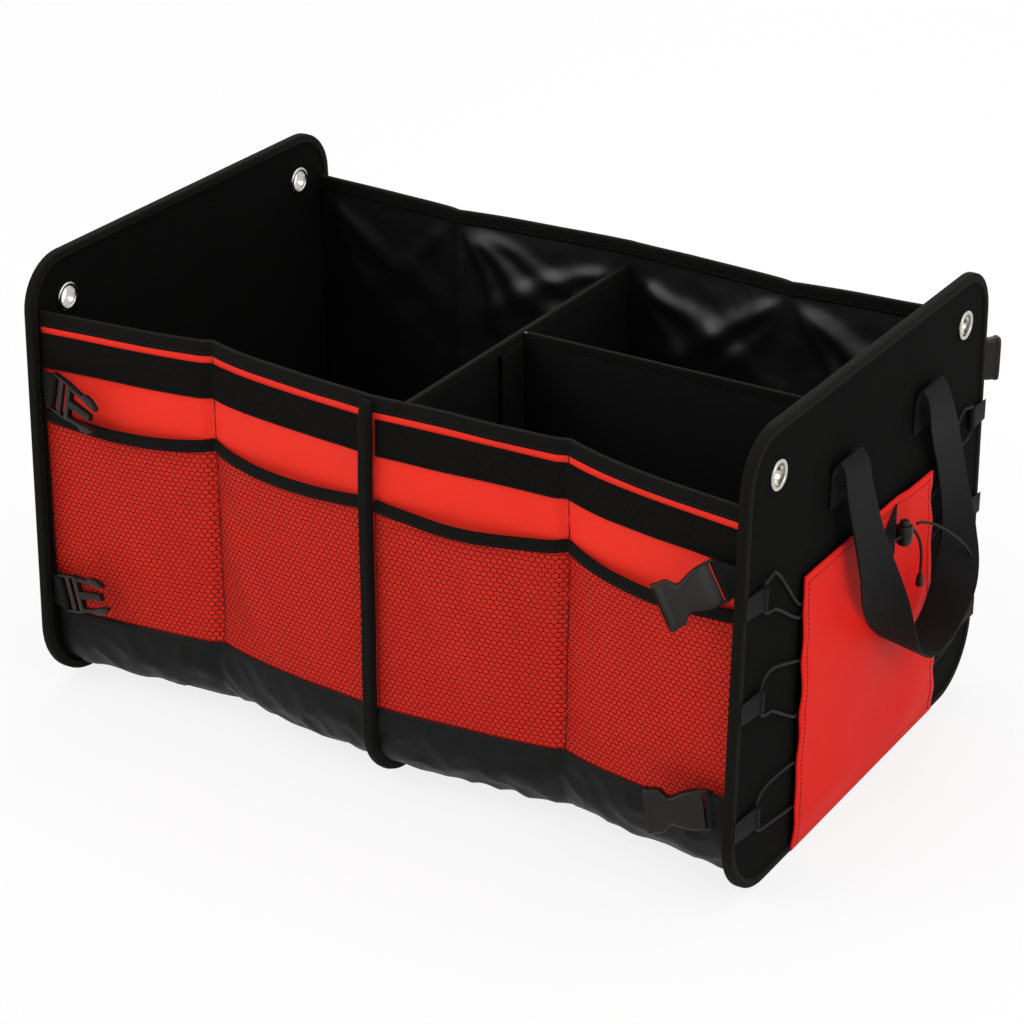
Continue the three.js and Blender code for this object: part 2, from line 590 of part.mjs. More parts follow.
const TAIL = [[LOCK.x + 1, 57, 141], [LOCK.x + 1.1, 57, 148], [LOCK.x + 1.9, 55.5, 160],
  [LOCK.x + 1.7, 51.5, 174], [LOCK.x + 0.7, 45, 184]];
const LOCKED = [[LOCK.x, 38, LOCK.z - 0.5], [LOCK.x, 33, LOCK.z], [LOCK.x, 23, LOCK.z], [LOCK.x - 0.4, 17.5, LOCK.z],
  [LOCK.x - 3, 12.8, LOCK.z], [LOCK.x - 7, CORD_HOLE_Y, LOCK.z], [sheetX + 1, CORD_HOLE_Y, LOCK.z],
  [behind + 0.2, CORD_HOLE_Y - 0.4, LOCK.z], [behind, CORD_HOLE_Y - 3, LOCK.z], [behind, CORD_HOLE_Y - 8, LOCK.z]];
const STRAND = [[laceX + 0.4, LACE_LOOP_Y, 71], [laceX + 4.5, 158.5, 79], [laceX + 8.5, 156, 86],
  [laceX + 15.5, 148, 101], [laceX + 21.5, 130, 125], [laceX + 23.5, 110, 147], [laceX + 21.5, 88, 166],
  [laceX + 17.5, 66, 182], [laceX + 15, 48, 191], [laceX + 14.5, 41, 193]];
// For each loop, its height, and the heights at which the cord leaves the edge of the sheet above and below it.
const laced = [[loop1, loop1 - 30, loop1 - 40], [loop2, loop2 + 3, loop2 - 39], [loop3, loop3 + 12, loop3 - 23]];
const CORD_ROUTE = [
  ...TAIL, ...LOCKED, [behind, -40, LOCK.z + 1],
  ...lacing(-1, ...laced[0]), ...lacing(-1, ...laced[1]), ...lacing(-1, ...laced[2]),
  [behind, -60, 50], [behind, 0, 120], [behind, 60, 178],
  ...lacing(1, ...laced[0]), ...lacing(1, ...laced[1]),
  ...lacing(1, ...laced[2]).slice(6).toReversed(), ...STRAND,
].map(([x, y, z]) => vec(x, y, z));

function tube(points, radius, sides) {
  const rings = [];
  let side = vec(1, 0, 0);
  points.forEach((point, i) => {
    const along = points[Math.min(i + 1, points.length - 1)].clone().sub(points[Math.max(i - 1, 0)]).normalize();
    side = side.clone().addScaledVector(along, -side.dot(along)).normalize();
    const up = new THREE.Vector3().crossVectors(along, side);
    rings.push(Array.from({ length: sides }, (_, k) => {
      const angle = (k / sides) * 2 * Math.PI;
      return point.clone().addScaledVector(side, radius * Math.cos(angle)).addScaledVector(up, radius * Math.sin(angle));
    }));
  });
  return skin(rings, Array.from({ length: sides - 2 }, (_, k) => [0, k + 1, k + 2]));
}
add('lace_cord', tube(CORD_ROUTE, CORD_R, 8), 'cord', 0.7);

const bellProfile = [[0, -4], [CORD_END_R, -3.2], [0.7 * CORD_END_R, 5], [cordHole, 5], [cordHole, -1.5], [0, -1.5]];
add('cord_end', upright(bellProfile, 12), 'plastic', 0.5).position.set(...TAIL[0]);

// Side-release buckles. In a buckle's own frame its bar is at the origin along Z, its length runs along X and its
// thickness along Y.
function plate(outline, thick, holes = []) {
  const shape = new THREE.Shape(outline.map(([x, h]) => new THREE.Vector2(x, h)));
  shape.holes.push(...holes);
  const geometry = new THREE.ExtrudeGeometry(shape, { depth: thick, bevelEnabled: false });
  const turn = new THREE.Matrix4().makeBasis(vec(1, 0, 0), vec(0, 0, 1), vec(0, -1, 0));
  return solid(geometry.applyMatrix4(turn).translate(0, thick / 2, 0));
}
const mirrored = (upper) => [...upper, ...upper.toReversed().map(([x, h]) => [x, -h])];
const RAIL = BUCKLE_HALF - WEBBING / 2 - RAIL_CLEARANCE;
const bar = () => solid(new THREE.CylinderGeometry(BAR_R, BAR_R, 2 * BUCKLE_HALF - RAIL, 10).rotateX(Math.PI / 2));
const rails = (length, thick) => [1, -1].map((s) => {
  const edge = [s * (BUCKLE_HALF - RAIL), s * BUCKLE_HALF];
  return solid(box(0, length, -thick / 2, thick / 2, Math.min(...edge), Math.max(...edge)));
});

// The plug: a ladder for the webbing, then a middle tongue between two springy arms with hooked heads.
function plug() {
  const ladder = [7, 11.5]; // the flat middle bar
  const cross = [16.5, 20.5];
  const arm = [[cross[0], BUCKLE_HALF - 0.4], [PLUG_LENGTH - 16, 12.6], [PLUG_LENGTH - 13, 14.6], [PLUG_LENGTH - 6, 13.4],
    [PLUG_LENGTH - 1, 10.2], [PLUG_LENGTH, 8.2], [PLUG_LENGTH - 9, 8.6], [PLUG_LENGTH - 15, 10.2], [cross[1], 10.8],
    [cross[1], 3], [PLUG_LENGTH - 5, 2.4]];
  const thickAt = [[ladder, 2.6], [cross, PLUG_THICK - 0.6]];
  let body = plate(mirrored(arm), PLUG_THICK - 1).add(bar());
  for (const [[from, to], thick] of thickAt) {
    body = body.add(solid(box(from, to, -thick / 2, thick / 2, -BUCKLE_HALF + 0.5, BUCKLE_HALF - 0.5)));
  }
  for (const rail of rails(cross[0] + 1, PLUG_THICK - 1)) {
    body = body.add(rail);
  }
  return fromSolid(body);
}

// The socket: a flat shell, waisted at its sides where the plug's heads show, open at its mouth.
function socket() {
  const length = SOCKET_LENGTH;
  const side = [[6, BUCKLE_HALF], [12, BUCKLE_HALF - 0.4], [18, 13], [23, 10.9], [26, 10.1], [28.5, 11], [30.5, 13.6],
    [32.5, 15.6], [length, BUCKLE_HALF + 1.8]];
  const cavity = SOCKET_THICK - 2 * SOCKET_WALL;
  const roomy = solid(box(18, length + 1, -cavity / 2, cavity / 2, -12.4, 12.4));
  const flare = solid(box(33, length + 1, -cavity / 2, cavity / 2, -BUCKLE_HALF, BUCKLE_HALF));
  let body = plate(mirrored(side), SOCKET_THICK).subtract(roomy).subtract(flare).add(bar());
  for (const rail of rails(7, 4.4)) {
    body = body.add(rail);
  }
  return fromSolid(body);
}

// The webbing tab of a buckle: it leaves the end panel upright and twists to the buckle's droop.
function tab(droop, length) {
  const geometry = foldedWebbing(BAR_R + BAR_CLEARANCE, length, WEBBING);
  const place = geometry.attributes.position;
  const turn = new THREE.Matrix4();
  for (let i = 0; i < place.count; i += 1) {
    const point = new THREE.Vector3().fromBufferAttribute(place, i);
    const share = THREE.MathUtils.smoothstep(-point.x, 3, length);
    point.applyMatrix4(turn.makeRotationY(-droop * share));
    place.setXYZ(i, point.x, point.y, point.z);
  }
  return geometry;
}

// Buckles: front or rear, right end or left, upper or lower, height, how far each droops and has swung out from the
// wall, and its tab. The upper one at the rear right has swung right round past the end panel.
const BUCKLES = [
  [-1, 1, 'upper', UPPER_BUCKLE_Z, 28, 46, TAB_LENGTH],
  [-1, 1, 'lower', LOWER_BUCKLE_Z - RIGHT_LOWERED, 9, 18, TAB_LENGTH],
  [-1, -1, 'upper', UPPER_BUCKLE_Z + LEFT_RAISED, 12, 12, TAB_LENGTH],
  [-1, -1, 'lower', LOWER_BUCKLE_Z + LEFT_RAISED, -13, 8, TAB_LENGTH],
  [1, 1, 'upper', UPPER_BUCKLE_Z + REAR_RAISED, 0, REAR_SWING, LONG_TAB],
  [1, 1, 'lower', LOWER_BUCKLE_Z, 17, 22, TAB_LENGTH],
  [1, -1, 'upper', UPPER_BUCKLE_Z, 18, 12, TAB_LENGTH], [1, -1, 'lower', LOWER_BUCKLE_Z, -2, 8, TAB_LENGTH],
];
for (const [side, end, level, z, droop, swing, tabLength] of BUCKLES) {
  const word = `${side < 0 ? 'front' : 'rear'}_${level}_${end > 0 ? 'right' : 'left'}`;
  const frame = new THREE.Group();
  const outward = panelHalf(z) - PANEL_BINDING + WEBBING_CLOTH;
  frame.position.set(end * (PANEL_INNER - 2 * GAP - TAPE - tabLength), side * outward, z);
  frame.rotation.set(0, rad(droop), end > 0 ? Math.PI : 0, 'ZYX');
  organizer.add(frame);
  add(`buckle_tab_${word}`, tab(rad(droop), tabLength), 'webbing', 0.9, 0, frame);
  const kind = end > 0 ? 'socket' : 'plug';
  const piece = add(`buckle_${kind}_${word}`, end > 0 ? socket() : plug(), 'plastic', 0.45, 0, frame);
  piece.rotation.z = rad(-side * end * swing);
}

export default organizer;
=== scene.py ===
"""A collapsible car trunk organizer: red and black cloth walls between two stiff felt-covered ends."""

import math

import bmesh
import bpy
from bpy.props import FloatProperty, FloatVectorProperty, PointerProperty
from mathutils import Matrix, Vector, noise


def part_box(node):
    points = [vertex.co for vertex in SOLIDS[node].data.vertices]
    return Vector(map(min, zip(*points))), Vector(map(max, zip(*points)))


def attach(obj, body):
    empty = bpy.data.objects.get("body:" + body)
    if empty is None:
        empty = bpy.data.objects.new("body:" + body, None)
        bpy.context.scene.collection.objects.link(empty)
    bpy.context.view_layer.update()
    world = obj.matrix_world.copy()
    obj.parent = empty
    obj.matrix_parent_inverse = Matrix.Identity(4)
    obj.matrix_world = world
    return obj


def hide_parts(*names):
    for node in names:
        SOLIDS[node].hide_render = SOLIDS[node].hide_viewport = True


bl_info = {
    "name": "Trunk organizer",
    "version": (1, 0, 0),
    "blender": (4, 5, 0),
    "location": "View3D > Sidebar > Organizer",
    "description": "Builds a folding trunk organizer piece by piece around its measured solids",
    "category": "Add Mesh",
}

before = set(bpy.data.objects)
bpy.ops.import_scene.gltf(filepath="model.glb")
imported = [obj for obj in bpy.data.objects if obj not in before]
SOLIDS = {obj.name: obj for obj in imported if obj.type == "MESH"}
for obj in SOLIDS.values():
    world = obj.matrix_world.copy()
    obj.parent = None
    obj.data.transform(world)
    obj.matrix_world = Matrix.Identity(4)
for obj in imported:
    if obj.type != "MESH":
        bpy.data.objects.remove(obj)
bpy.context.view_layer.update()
MAIN = "organizer"  # the body that everything sewn together rides on

# The box's shape in metres, the same as that of the measured solids. +X is to the right and -Y to the
# front.
WIDTH = 0.575
PANEL_HEIGHT = 0.336
PANEL_DEPTH = (0.386, 0.362)  # at the floor and at the top
PANEL_CORNER = (0.050, 0.038)
PANEL_BOARD = 0.005
RIM = 0.296
SETBACK = (0.015, 0.009)
BEND = 0.038
FLOOR = 0.009
BAND_TOP = 0.064
MOUTH = 0.224
GAP = 0.0003
CLOTH = 0.0012
QUARTER = WIDTH / 4
WALL_END = WIDTH / 2 - PANEL_BOARD - GAP
BEND_HEIGHT = FLOOR + BEND
LINING = -(1.5 * CLOTH + GAP)  # middle of the lining, from the wall's outer face
TAPE = 0.0009
WALL_TOP = RIM - TAPE - GAP
SEAM_SIDE = 0.0053  # edge of the centre seam's tape
LEAN = (PANEL_DEPTH[0] - PANEL_DEPTH[1]) / 2 / PANEL_HEIGHT
PANEL_MIDDLE = WIDTH / 2 - PANEL_BOARD / 2
EYELET = (0.142, 0.300)  # from the middle of the panel, and up

UP = Vector((0, 0, 1))
RIGHT = Vector((1, 0, 0))
REARWARDS = Vector((0, 1, 0))
WALLS = ((-1, "front"), (1, "rear"))
ENDS = ((-1, "left"), (1, "right"))
HALVES = ((-WALL_END, -SEAM_SIDE, "left"), (SEAM_SIDE, WALL_END, "right"))  # of the front


# ---- numbers and curves


def sizes():
    return bpy.context.scene.organizer_sizes


def colours():
    return bpy.context.scene.organizer_colours


def mm(points):
    """Points given in millimetres, in metres."""
    return [Vector(p) / 1000 for p in points]


def spaced(start, end, steps):
    return [lerp(start, end, i / steps) for i in range(steps + 1)]


def lerp(a, b, t):
    return a + (b - a) * t


def ease(t):
    """Smooth step from 0 to 1."""
    t = min(1.0, max(0.0, t))
    return t * t * (3 - 2 * t)


def ripple(x, y, z=0.0, scale=1.0):
    """Repeatable smooth noise, from about -1 to 1, with features about as big as scale."""
    return noise.noise(Vector((x / scale, y / scale, z)))


def through(points, steps):
    """Points evenly spaced in number along a centripetal curve through the given ones."""
    points = [Vector(p) for p in points]
    ends = [2 * points[0] - points[1], *points, 2 * points[-1] - points[-2]]
    made = []
    spans = len(points) - 1
    for i in range(steps + 1):
        t = spans * i / steps
        k = min(int(t), spans - 1)
        p = ends[k:k + 4]
        knots = [0.0]
        for a, b in zip(p, p[1:]):
            knots.append(knots[-1] + max((b - a).length, 1e-9) ** 0.5)
        t = lerp(knots[1], knots[2], t - k)
        for level in (1, 2, 3):
            p = [
                p[j].lerp(p[j + 1], (t - knots[j]) / (knots[j + level] - knots[j]))
                for j in range(len(p) - 1)
            ]
        made.append(p[0])
    return made


def superellipse(turn, half_width, half_thick, power=0.45):
    """A point on a rounded rectangle, once round as turn goes from 0 to 1."""
    angle = 2 * math.pi * turn
    c, s = math.cos(angle), math.sin(angle)
    across = math.copysign(abs(c) ** power, c) * half_width
    out = math.copysign(abs(s) ** power, s) * half_thick
    return across, out


# ---- meshes


def grid(columns, rows, size, place):
    """A sheet of quads put in place by place(u, v), u and v from 0 to 1, with a UV map in metres."""
    bm = bmesh.new()
    bmesh.ops.create_grid(bm, x_segments=columns, y_segments=rows, size=0.5)
    layer = bm.loops.layers.uv.new("UVMap")
    for face in bm.faces:
        for loop in face.loops:
            x, y, _ = loop.vert.co
            loop[layer].uv = ((x + 0.5) * size[0], (y + 0.5) * size[1])
    for vert in bm.verts:
        vert.co = place(vert.co.x + 0.5, vert.co.y + 0.5)
    return bm


def close(bm, caps=True):
    """Joins a sheet that was rolled into a tube, caps its ends and points its faces outwards."""
    bmesh.ops.remove_doubles(bm, verts=bm.verts, dist=1e-6)
    if caps:
        open_edges = [e for e in bm.edges if e.is_boundary]
        bmesh.ops.holes_fill(bm, edges=open_edges, sides=0)
    bmesh.ops.recalc_face_normals(bm, faces=bm.faces)
    return bm


def sweep(path, sides, section, around, closed=False, power=0.45):
    """A tube along a path: sides is the width's direction, all along or at each point, and section its
    half sizes, all along or as a function of the share of the way."""
    count = len(path)
    if isinstance(sides, Vector):
        sides = [sides] * count
    size_at = section if callable(section) else lambda u: section
    frames = []
    for i, point in enumerate(path):
        if closed:
            along = (path[(i + 1) % count] - path[i - 1]).normalized()
        else:
            along = (path[min(i + 1, count - 1)] - path[max(i - 1, 0)]).normalized()
        side = sides[i] - along * sides[i].dot(along)
        side.normalize()
        frames.append((point, side, along.cross(side)))
    if closed:
        frames.append(frames[0])
    length = sum((b[0] - a[0]).length for a, b in zip(frames, frames[1:]))

    def place(u, v):
        i = round(u * (len(frames) - 1))
        point, side, up = frames[i]
        a, b = superellipse(v, *size_at(u), power)
        return point + side * a + up * b

    bm = grid(len(frames) - 1, around, (length, 1), place)
    ring = [Vector(superellipse(i / around, *size_at(0.5), power)) for i in range(around + 1)]
    girths = [0.0]
    for a, b in zip(ring, ring[1:]):
        girths.append(girths[-1] + (b - a).length)
    layer = bm.loops.layers.uv["UVMap"]
    for face in bm.faces:
        for loop in face.loops:
            loop[layer].uv.y = girths[round(loop[layer].uv.y * around)]
    return close(bm, caps=not closed)


def cord_frames(path):
    """Side directions that turn as little as they can along the path."""
    side = Vector((0, 0, 1))
    made = []
    for i in range(len(path)):
        along = (path[min(i + 1, len(path) - 1)] - path[max(i - 1, 0)]).normalized()
        side = side - along * side.dot(along)
        if side.length < 1e-4:
            side = along.orthogonal()
        side.normalize()
        made.append(side.copy())
    return made


def turned(profile, steps):
    """A closed profile of (radius, height) spun about Z."""
    bm = bmesh.new()
    verts = [bm.verts.new((r, 0, h)) for r, h in profile]
    edges = [bm.edges.new((a, b)) for a, b in zip(verts, verts[1:] + verts[:1])]
    bmesh.ops.spin(
        bm, geom=verts + edges, cent=(0, 0, 0), axis=(0, 0, 1), dvec=(0, 0, 0),
        angle=2 * math.pi, steps=steps, use_merge=True,
    )
    bmesh.ops.remove_doubles(bm, verts=bm.verts, dist=1e-6)
    bmesh.ops.recalc_face_normals(bm, faces=bm.faces)
    return bm


def copy_of(name, round_over, segments=2):
    """The named solid with its flat faces merged and its edges rounded over."""
    bm = bmesh.new()
    bm.from_mesh(SOLIDS[name].data)
    bmesh.ops.remove_doubles(bm, verts=bm.verts, dist=1e-6)
    bmesh.ops.dissolve_limit(
        bm, angle_limit=math.radians(2), verts=bm.verts, edges=bm.edges,
        use_dissolve_boundaries=False)
    sharp = [e for e in bm.edges if e.is_manifold and e.calc_face_angle(0) > math.radians(30)]
    bmesh.ops.bevel(
        bm, geom=sharp, offset=round_over, offset_type="OFFSET", segments=segments, profile=0.5,
        affect="EDGES", clamp_overlap=True, material=-1,
    )
    return bm


def join(target, *others):
    """Adds other bmeshes to the first one."""
    for other in others:
        spare = bpy.data.meshes.new("spare")
        other.to_mesh(spare)
        other.free()
        target.from_mesh(spare)
        bpy.data.meshes.remove(spare)
    return target


def piece(name, bm, finish, replaces=(), body=MAIN):
    """Makes the bmesh an object that rides on a body and stands for the solids it replaces."""
    mesh = bpy.data.meshes.new(name)
    bm.to_mesh(mesh)
    bm.free()
    made = bpy.data.objects.new(name, mesh)
    bpy.context.scene.collection.objects.link(made)
    mesh.materials.append(MATERIALS[finish]())
    mesh.polygons.foreach_set("use_smooth", [True] * len(mesh.polygons))
    mesh.set_sharp_from_angle(angle=math.radians(48))
    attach(made, body)
    if replaces:
        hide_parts(*replaces)
    return made


def thicken(made, thickness):
    """Gives a sheet its thickness, half on each side."""
    shell = made.modifiers.new("thickness", "SOLIDIFY")
    shell.thickness = thickness
    shell.offset = 0.0
    shell.use_even_offset = True
    return made


def paint(node_name, finish):
    """Gives a solid that is shown as it is its finish."""
    solid = SOLIDS[node_name]
    solid.data.materials.clear()
    solid.data.materials.append(MATERIALS[finish]())


def stitches(path, outward, pitch=None, long=None, thick=0.0007, sink=0.3):
    """A row of short thread stitches along a path, each a small bead lying on the cloth. The way out of
    the cloth is one direction, or one for each step of the path."""
    if isinstance(outward, Vector):
        outward = [outward] * (len(path) - 1)
    pitch = pitch or sizes().stitch_pitch
    long = long or sizes().stitch
    sewn, lot = bmesh.new(), bmesh.new()
    travelled = 0.0
    for a, b, normal in zip(path, path[1:], outward):
        span = (b - a).length
        along = (b - a) / max(span, 1e-9)
        side = normal.cross(along).normalized()
        up = along.cross(side)
        while travelled < span:
            at = a + along * travelled + up * thick * (0.5 - sink)
            turn = Matrix((along, side, up)).transposed().to_4x4()
            size = Matrix.Diagonal((long / 2, thick / 2, thick / 2, 1))
            bmesh.ops.create_uvsphere(
                lot, u_segments=6, v_segments=4, radius=1, matrix=Matrix.Translation(at) @ turn @ size)
            if len(lot.faces) > 400:  # small lots keep the work short
                join(sewn, lot)
                lot = bmesh.new()
            travelled += pitch
        travelled -= span
    return join(sewn, lot)


# ---- sizes and colours that a user may change


def length(name, description, default):
    return FloatProperty(name=name, description=description, default=default, min=0, unit="LENGTH")


def colour(name, description, default):
    return FloatVectorProperty(
        name=name, description=description, default=default, min=0, max=1, size=4, subtype="COLOR")


def linear(hex_colour):
    """The linear colour of an sRGB hex value."""
    channels = [int(hex_colour[i:i + 2], 16) / 255 for i in (1, 3, 5)]
    return (*[c / 12.92 if c <= 0.04045 else ((c + 0.055) / 1.055) ** 2.4 for c in channels], 1.0)


class OrganizerSizes(bpy.types.PropertyGroup):
    """Sizes of the soft detail."""

    net_pitch: length("Net pitch", "Width of one opening of the net", 0.0043)
    net_thread: length("Net thread", "Width of the threads between the openings", 0.00056)
    net_bulge: length("Net bulge", "How far a pocket's net stands off the wall", 0.0052)
    crease: length("Crease", "How far the front wall folds in at its quarter creases", 0.017)
    stitch: length("Stitch", "Length of one visible stitch", 0.0022)
    stitch_pitch: length("Stitch pitch", "Distance from one stitch to the next", 0.0034)


class OrganizerColours(bpy.types.PropertyGroup):
    """Colours of the cloths, plastics and metals."""

    red: colour("Red cloth", "The front wall's woven polyester", linear("#f93222"))
    vinyl: colour("Red vinyl", "The laced sheet", linear("#e22017"))
    felt: colour("Felt", "The end panels", linear("#0e0d0c"))
    tape: colour("Binding tape", "The tape sewn round every edge", linear("#131210"))
    nylon: colour("Black nylon", "The band under the floor and the rear wall", linear("#0b0b0a"))
    lining: colour("Lining", "The coated cloth inside", linear("#0b0b0b"))
    webbing: colour("Webbing", "Handles, tabs and loops", linear("#0e0d0d"))
    plastic: colour("Plastic", "Buckles and cord lock", linear("#171310"))
    plate: colour("Nickel plate", "The eyelets", linear("#bfbcb4"))


# ---- materials


def node(tree, kind, sockets=None, **settings):
    """Adds a node with its settings; a socket given as a value is linked, anything else is set."""
    made = tree.nodes.new(kind)
    for key, value in settings.items():
        setattr(made, key, value)
    for key, value in (sockets or {}).items():
        if isinstance(value, bpy.types.NodeSocket):
            tree.links.new(value, made.inputs[key])
        else:
            made.inputs[key].default_value = value
    return made


def surface(name, **sockets):
    """A new material with a Principled shader wired to its output."""
    made = bpy.data.materials.new(name)
    made.use_nodes = True
    tree = made.node_tree
    tree.nodes.clear()
    named = {key.replace("_", " "): value for key, value in sockets.items()}
    shader = node(tree, "ShaderNodeBsdfPrincipled", named)
    node(tree, "ShaderNodeOutputMaterial", {"Surface": shader.outputs["BSDF"]})
    return made, tree, shader


def shades(tone, amount):
    """A darker version of a colour, and the colour itself."""
    return tuple(c * (1 - amount) for c in tone[:3]) + (1.0,), tuple(tone)


def per_mm(pitch):
    """A wave texture's scale for one wave in so many millimetres, on coordinates in metres."""
    return 2 * math.pi / 20 / (pitch / 1000)


def weave(tree, vector, pitch):
    """Threads in both directions, so many millimetres apart, as a height."""
    bands = []
    for direction in ("X", "Y"):
        wave = node(
            tree, "ShaderNodeTexWave",
            {"Vector": vector, "Scale": per_mm(pitch), "Distortion": 0.0}, bands_direction=direction)
        bands.append(wave.outputs["Fac"])
    both = node(tree, "ShaderNodeMath", {0: bands[0], 1: bands[1]}, operation="MULTIPLY")
    return both.outputs[0]


MATERIALS = {}


def finish(maker):
    """Keeps each material's maker by name, and makes the material once."""
    kept = {}

    def once():
        if not kept:
            kept["made"] = maker()
        return kept["made"]

    MATERIALS[maker.__name__] = once
    return once


@finish
def needled_felt():
    """Needle-punched polyester felt over board: dull black, with short tangled fibres that catch a
    little light."""
    made, tree, shader = surface("needled felt", Roughness=0.96, Specular_IOR_Level=0.07)
    place = node(tree, "ShaderNodeTexCoord").outputs["Object"]
    # fibre tangles about 1.3 mm across, coarser than real ones so that they show
    fibre = node(
        tree, "ShaderNodeTexNoise", {"Vector": place, "Scale": 760.0, "Detail": 3.0, "Roughness": 0.7})
    cloud = node(tree, "ShaderNodeTexNoise", {"Vector": place, "Scale": 22.0, "Detail": 2.0})
    mixed = node(
        tree, "ShaderNodeMath", {0: fibre.outputs[0], 1: cloud.outputs[0]}, operation="MULTIPLY")
    dark, light = shades(colours().felt, 0.55)
    tone = node(
        tree, "ShaderNodeMix", {"Factor": mixed.outputs[0], 6: dark, 7: light}, data_type="RGBA")
    tree.links.new(tone.outputs[2], shader.inputs["Base Color"])
    bump = node(
        tree, "ShaderNodeBump", {"Height": fibre.outputs[0], "Distance": 0.0004, "Strength": 0.6})
    tree.links.new(bump.outputs["Normal"], shader.inputs["Normal"])
    return made


@finish
def ribbed_tape():
    """Woven polypropylene binding tape: matt, with fine ribs across it."""
    made, tree, shader = surface("ribbed binding tape", Roughness=0.85, Specular_IOR_Level=0.1)
    place = node(tree, "ShaderNodeUVMap", uv_map="UVMap").outputs[0]
    # ribs 1.2 mm apart, about twice the real spacing so that they show
    rib = node(
        tree, "ShaderNodeTexWave",
        {"Vector": place, "Scale": per_mm(1.2), "Distortion": 0.6, "Detail": 1.0})
    fuzz = node(tree, "ShaderNodeTexNoise", {"Vector": place, "Scale": 500.0, "Detail": 2.0})
    mixed = node(
        tree, "ShaderNodeMath", {0: rib.outputs["Fac"], 1: fuzz.outputs[0]}, operation="MULTIPLY")
    dark, light = shades(colours().tape, 0.45)
    tone = node(
        tree, "ShaderNodeMix", {"Factor": mixed.outputs[0], 6: dark, 7: light}, data_type="RGBA")
    tree.links.new(tone.outputs[2], shader.inputs["Base Color"])
    bump = node(
        tree, "ShaderNodeBump", {"Height": mixed.outputs[0], "Distance": 0.00025, "Strength": 0.7})
    tree.links.new(bump.outputs["Normal"], shader.inputs["Normal"])
    return made


@finish
def red_oxford():
    """Coated oxford polyester, dyed red: a plain weave with a soft sheen and a faint diagonal grain."""
    made, tree, shader = surface("red oxford polyester", Roughness=0.6, Specular_IOR_Level=0.14)
    place = node(tree, "ShaderNodeUVMap", uv_map="UVMap").outputs[0]
    # threads 0.9 mm apart, drawn coarser than the real 0.5 mm
    threads = weave(tree, place, 0.9)
    slanted = node(
        tree, "ShaderNodeMapping", {"Vector": place, "Rotation": (0, 0, math.radians(38))})
    grain = node(
        tree, "ShaderNodeTexWave",
        {"Vector": slanted.outputs[0], "Scale": per_mm(1.7), "Distortion": 0.4})
    cloud = node(tree, "ShaderNodeTexNoise", {"Vector": place, "Scale": 14.0, "Detail": 3.0})
    fine = node(tree, "ShaderNodeMath", {0: threads, 1: grain.outputs["Fac"]}, operation="ADD")
    spread = node(
        tree, "ShaderNodeMath", {0: fine.outputs[0], 1: cloud.outputs[0], 2: 0.2},
        operation="MULTIPLY_ADD")
    dark, light = shades(colours().red, 0.14)
    tone = node(
        tree, "ShaderNodeMix", {"Factor": spread.outputs[0], 6: dark, 7: light}, data_type="RGBA")
    tree.links.new(tone.outputs[2], shader.inputs["Base Color"])
    bump = node(
        tree, "ShaderNodeBump", {"Height": threads, "Distance": 0.00018, "Strength": 0.5})
    tree.links.new(bump.outputs["Normal"], shader.inputs["Normal"])
    return made


@finish
def knitted_net():
    """Knitted polyester net: hard round threads, near black, with a red tint that is painted light
    thrown by the red cloth behind.
    """
    # the red in this near black is painted light from the red cloth behind the net
    made, tree, shader = surface(
        "knitted net", Base_Color=linear("#240b08"), Roughness=0.7, Specular_IOR_Level=0.12)
    place = node(tree, "ShaderNodeTexCoord").outputs["Object"]
    twist = node(tree, "ShaderNodeTexNoise", {"Vector": place, "Scale": 900.0, "Detail": 2.0})
    bump = node(
        tree, "ShaderNodeBump", {"Height": twist.outputs[0], "Distance": 0.0002, "Strength": 0.5})
    tree.links.new(bump.outputs["Normal"], shader.inputs["Normal"])
    return made


@finish
def crinkled_nylon():
    """Light coated nylon: black, a little glossy, and full of small soft creases."""
    made, tree, shader = surface("crinkled nylon", Roughness=0.52, Specular_IOR_Level=0.15)
    place = node(tree, "ShaderNodeUVMap", uv_map="UVMap").outputs[0]
    crease = node(
        tree, "ShaderNodeTexNoise",
        {"Vector": place, "Scale": 55.0, "Detail": 4.0, "Roughness": 0.55, "Distortion": 0.8})
    # threads 0.8 mm apart, several times as coarse as real ones so that they show
    threads = weave(tree, place, 0.8)
    mixed = node(
        tree, "ShaderNodeMath", {0: threads, 1: crease.outputs[0]}, operation="MULTIPLY")
    dark, light = shades(colours().nylon, 0.4)
    tone = node(
        tree, "ShaderNodeMix", {"Factor": mixed.outputs[0], 6: dark, 7: light}, data_type="RGBA")
    tree.links.new(tone.outputs[2], shader.inputs["Base Color"])
    soft = node(
        tree, "ShaderNodeBump", {"Height": crease.outputs[0], "Distance": 0.0016, "Strength": 0.55})
    bump = node(
        tree, "ShaderNodeBump",
        {"Height": threads, "Distance": 0.00012, "Strength": 0.4,
         "Normal": soft.outputs["Normal"]})
    tree.links.new(bump.outputs["Normal"], shader.inputs["Normal"])
    return made


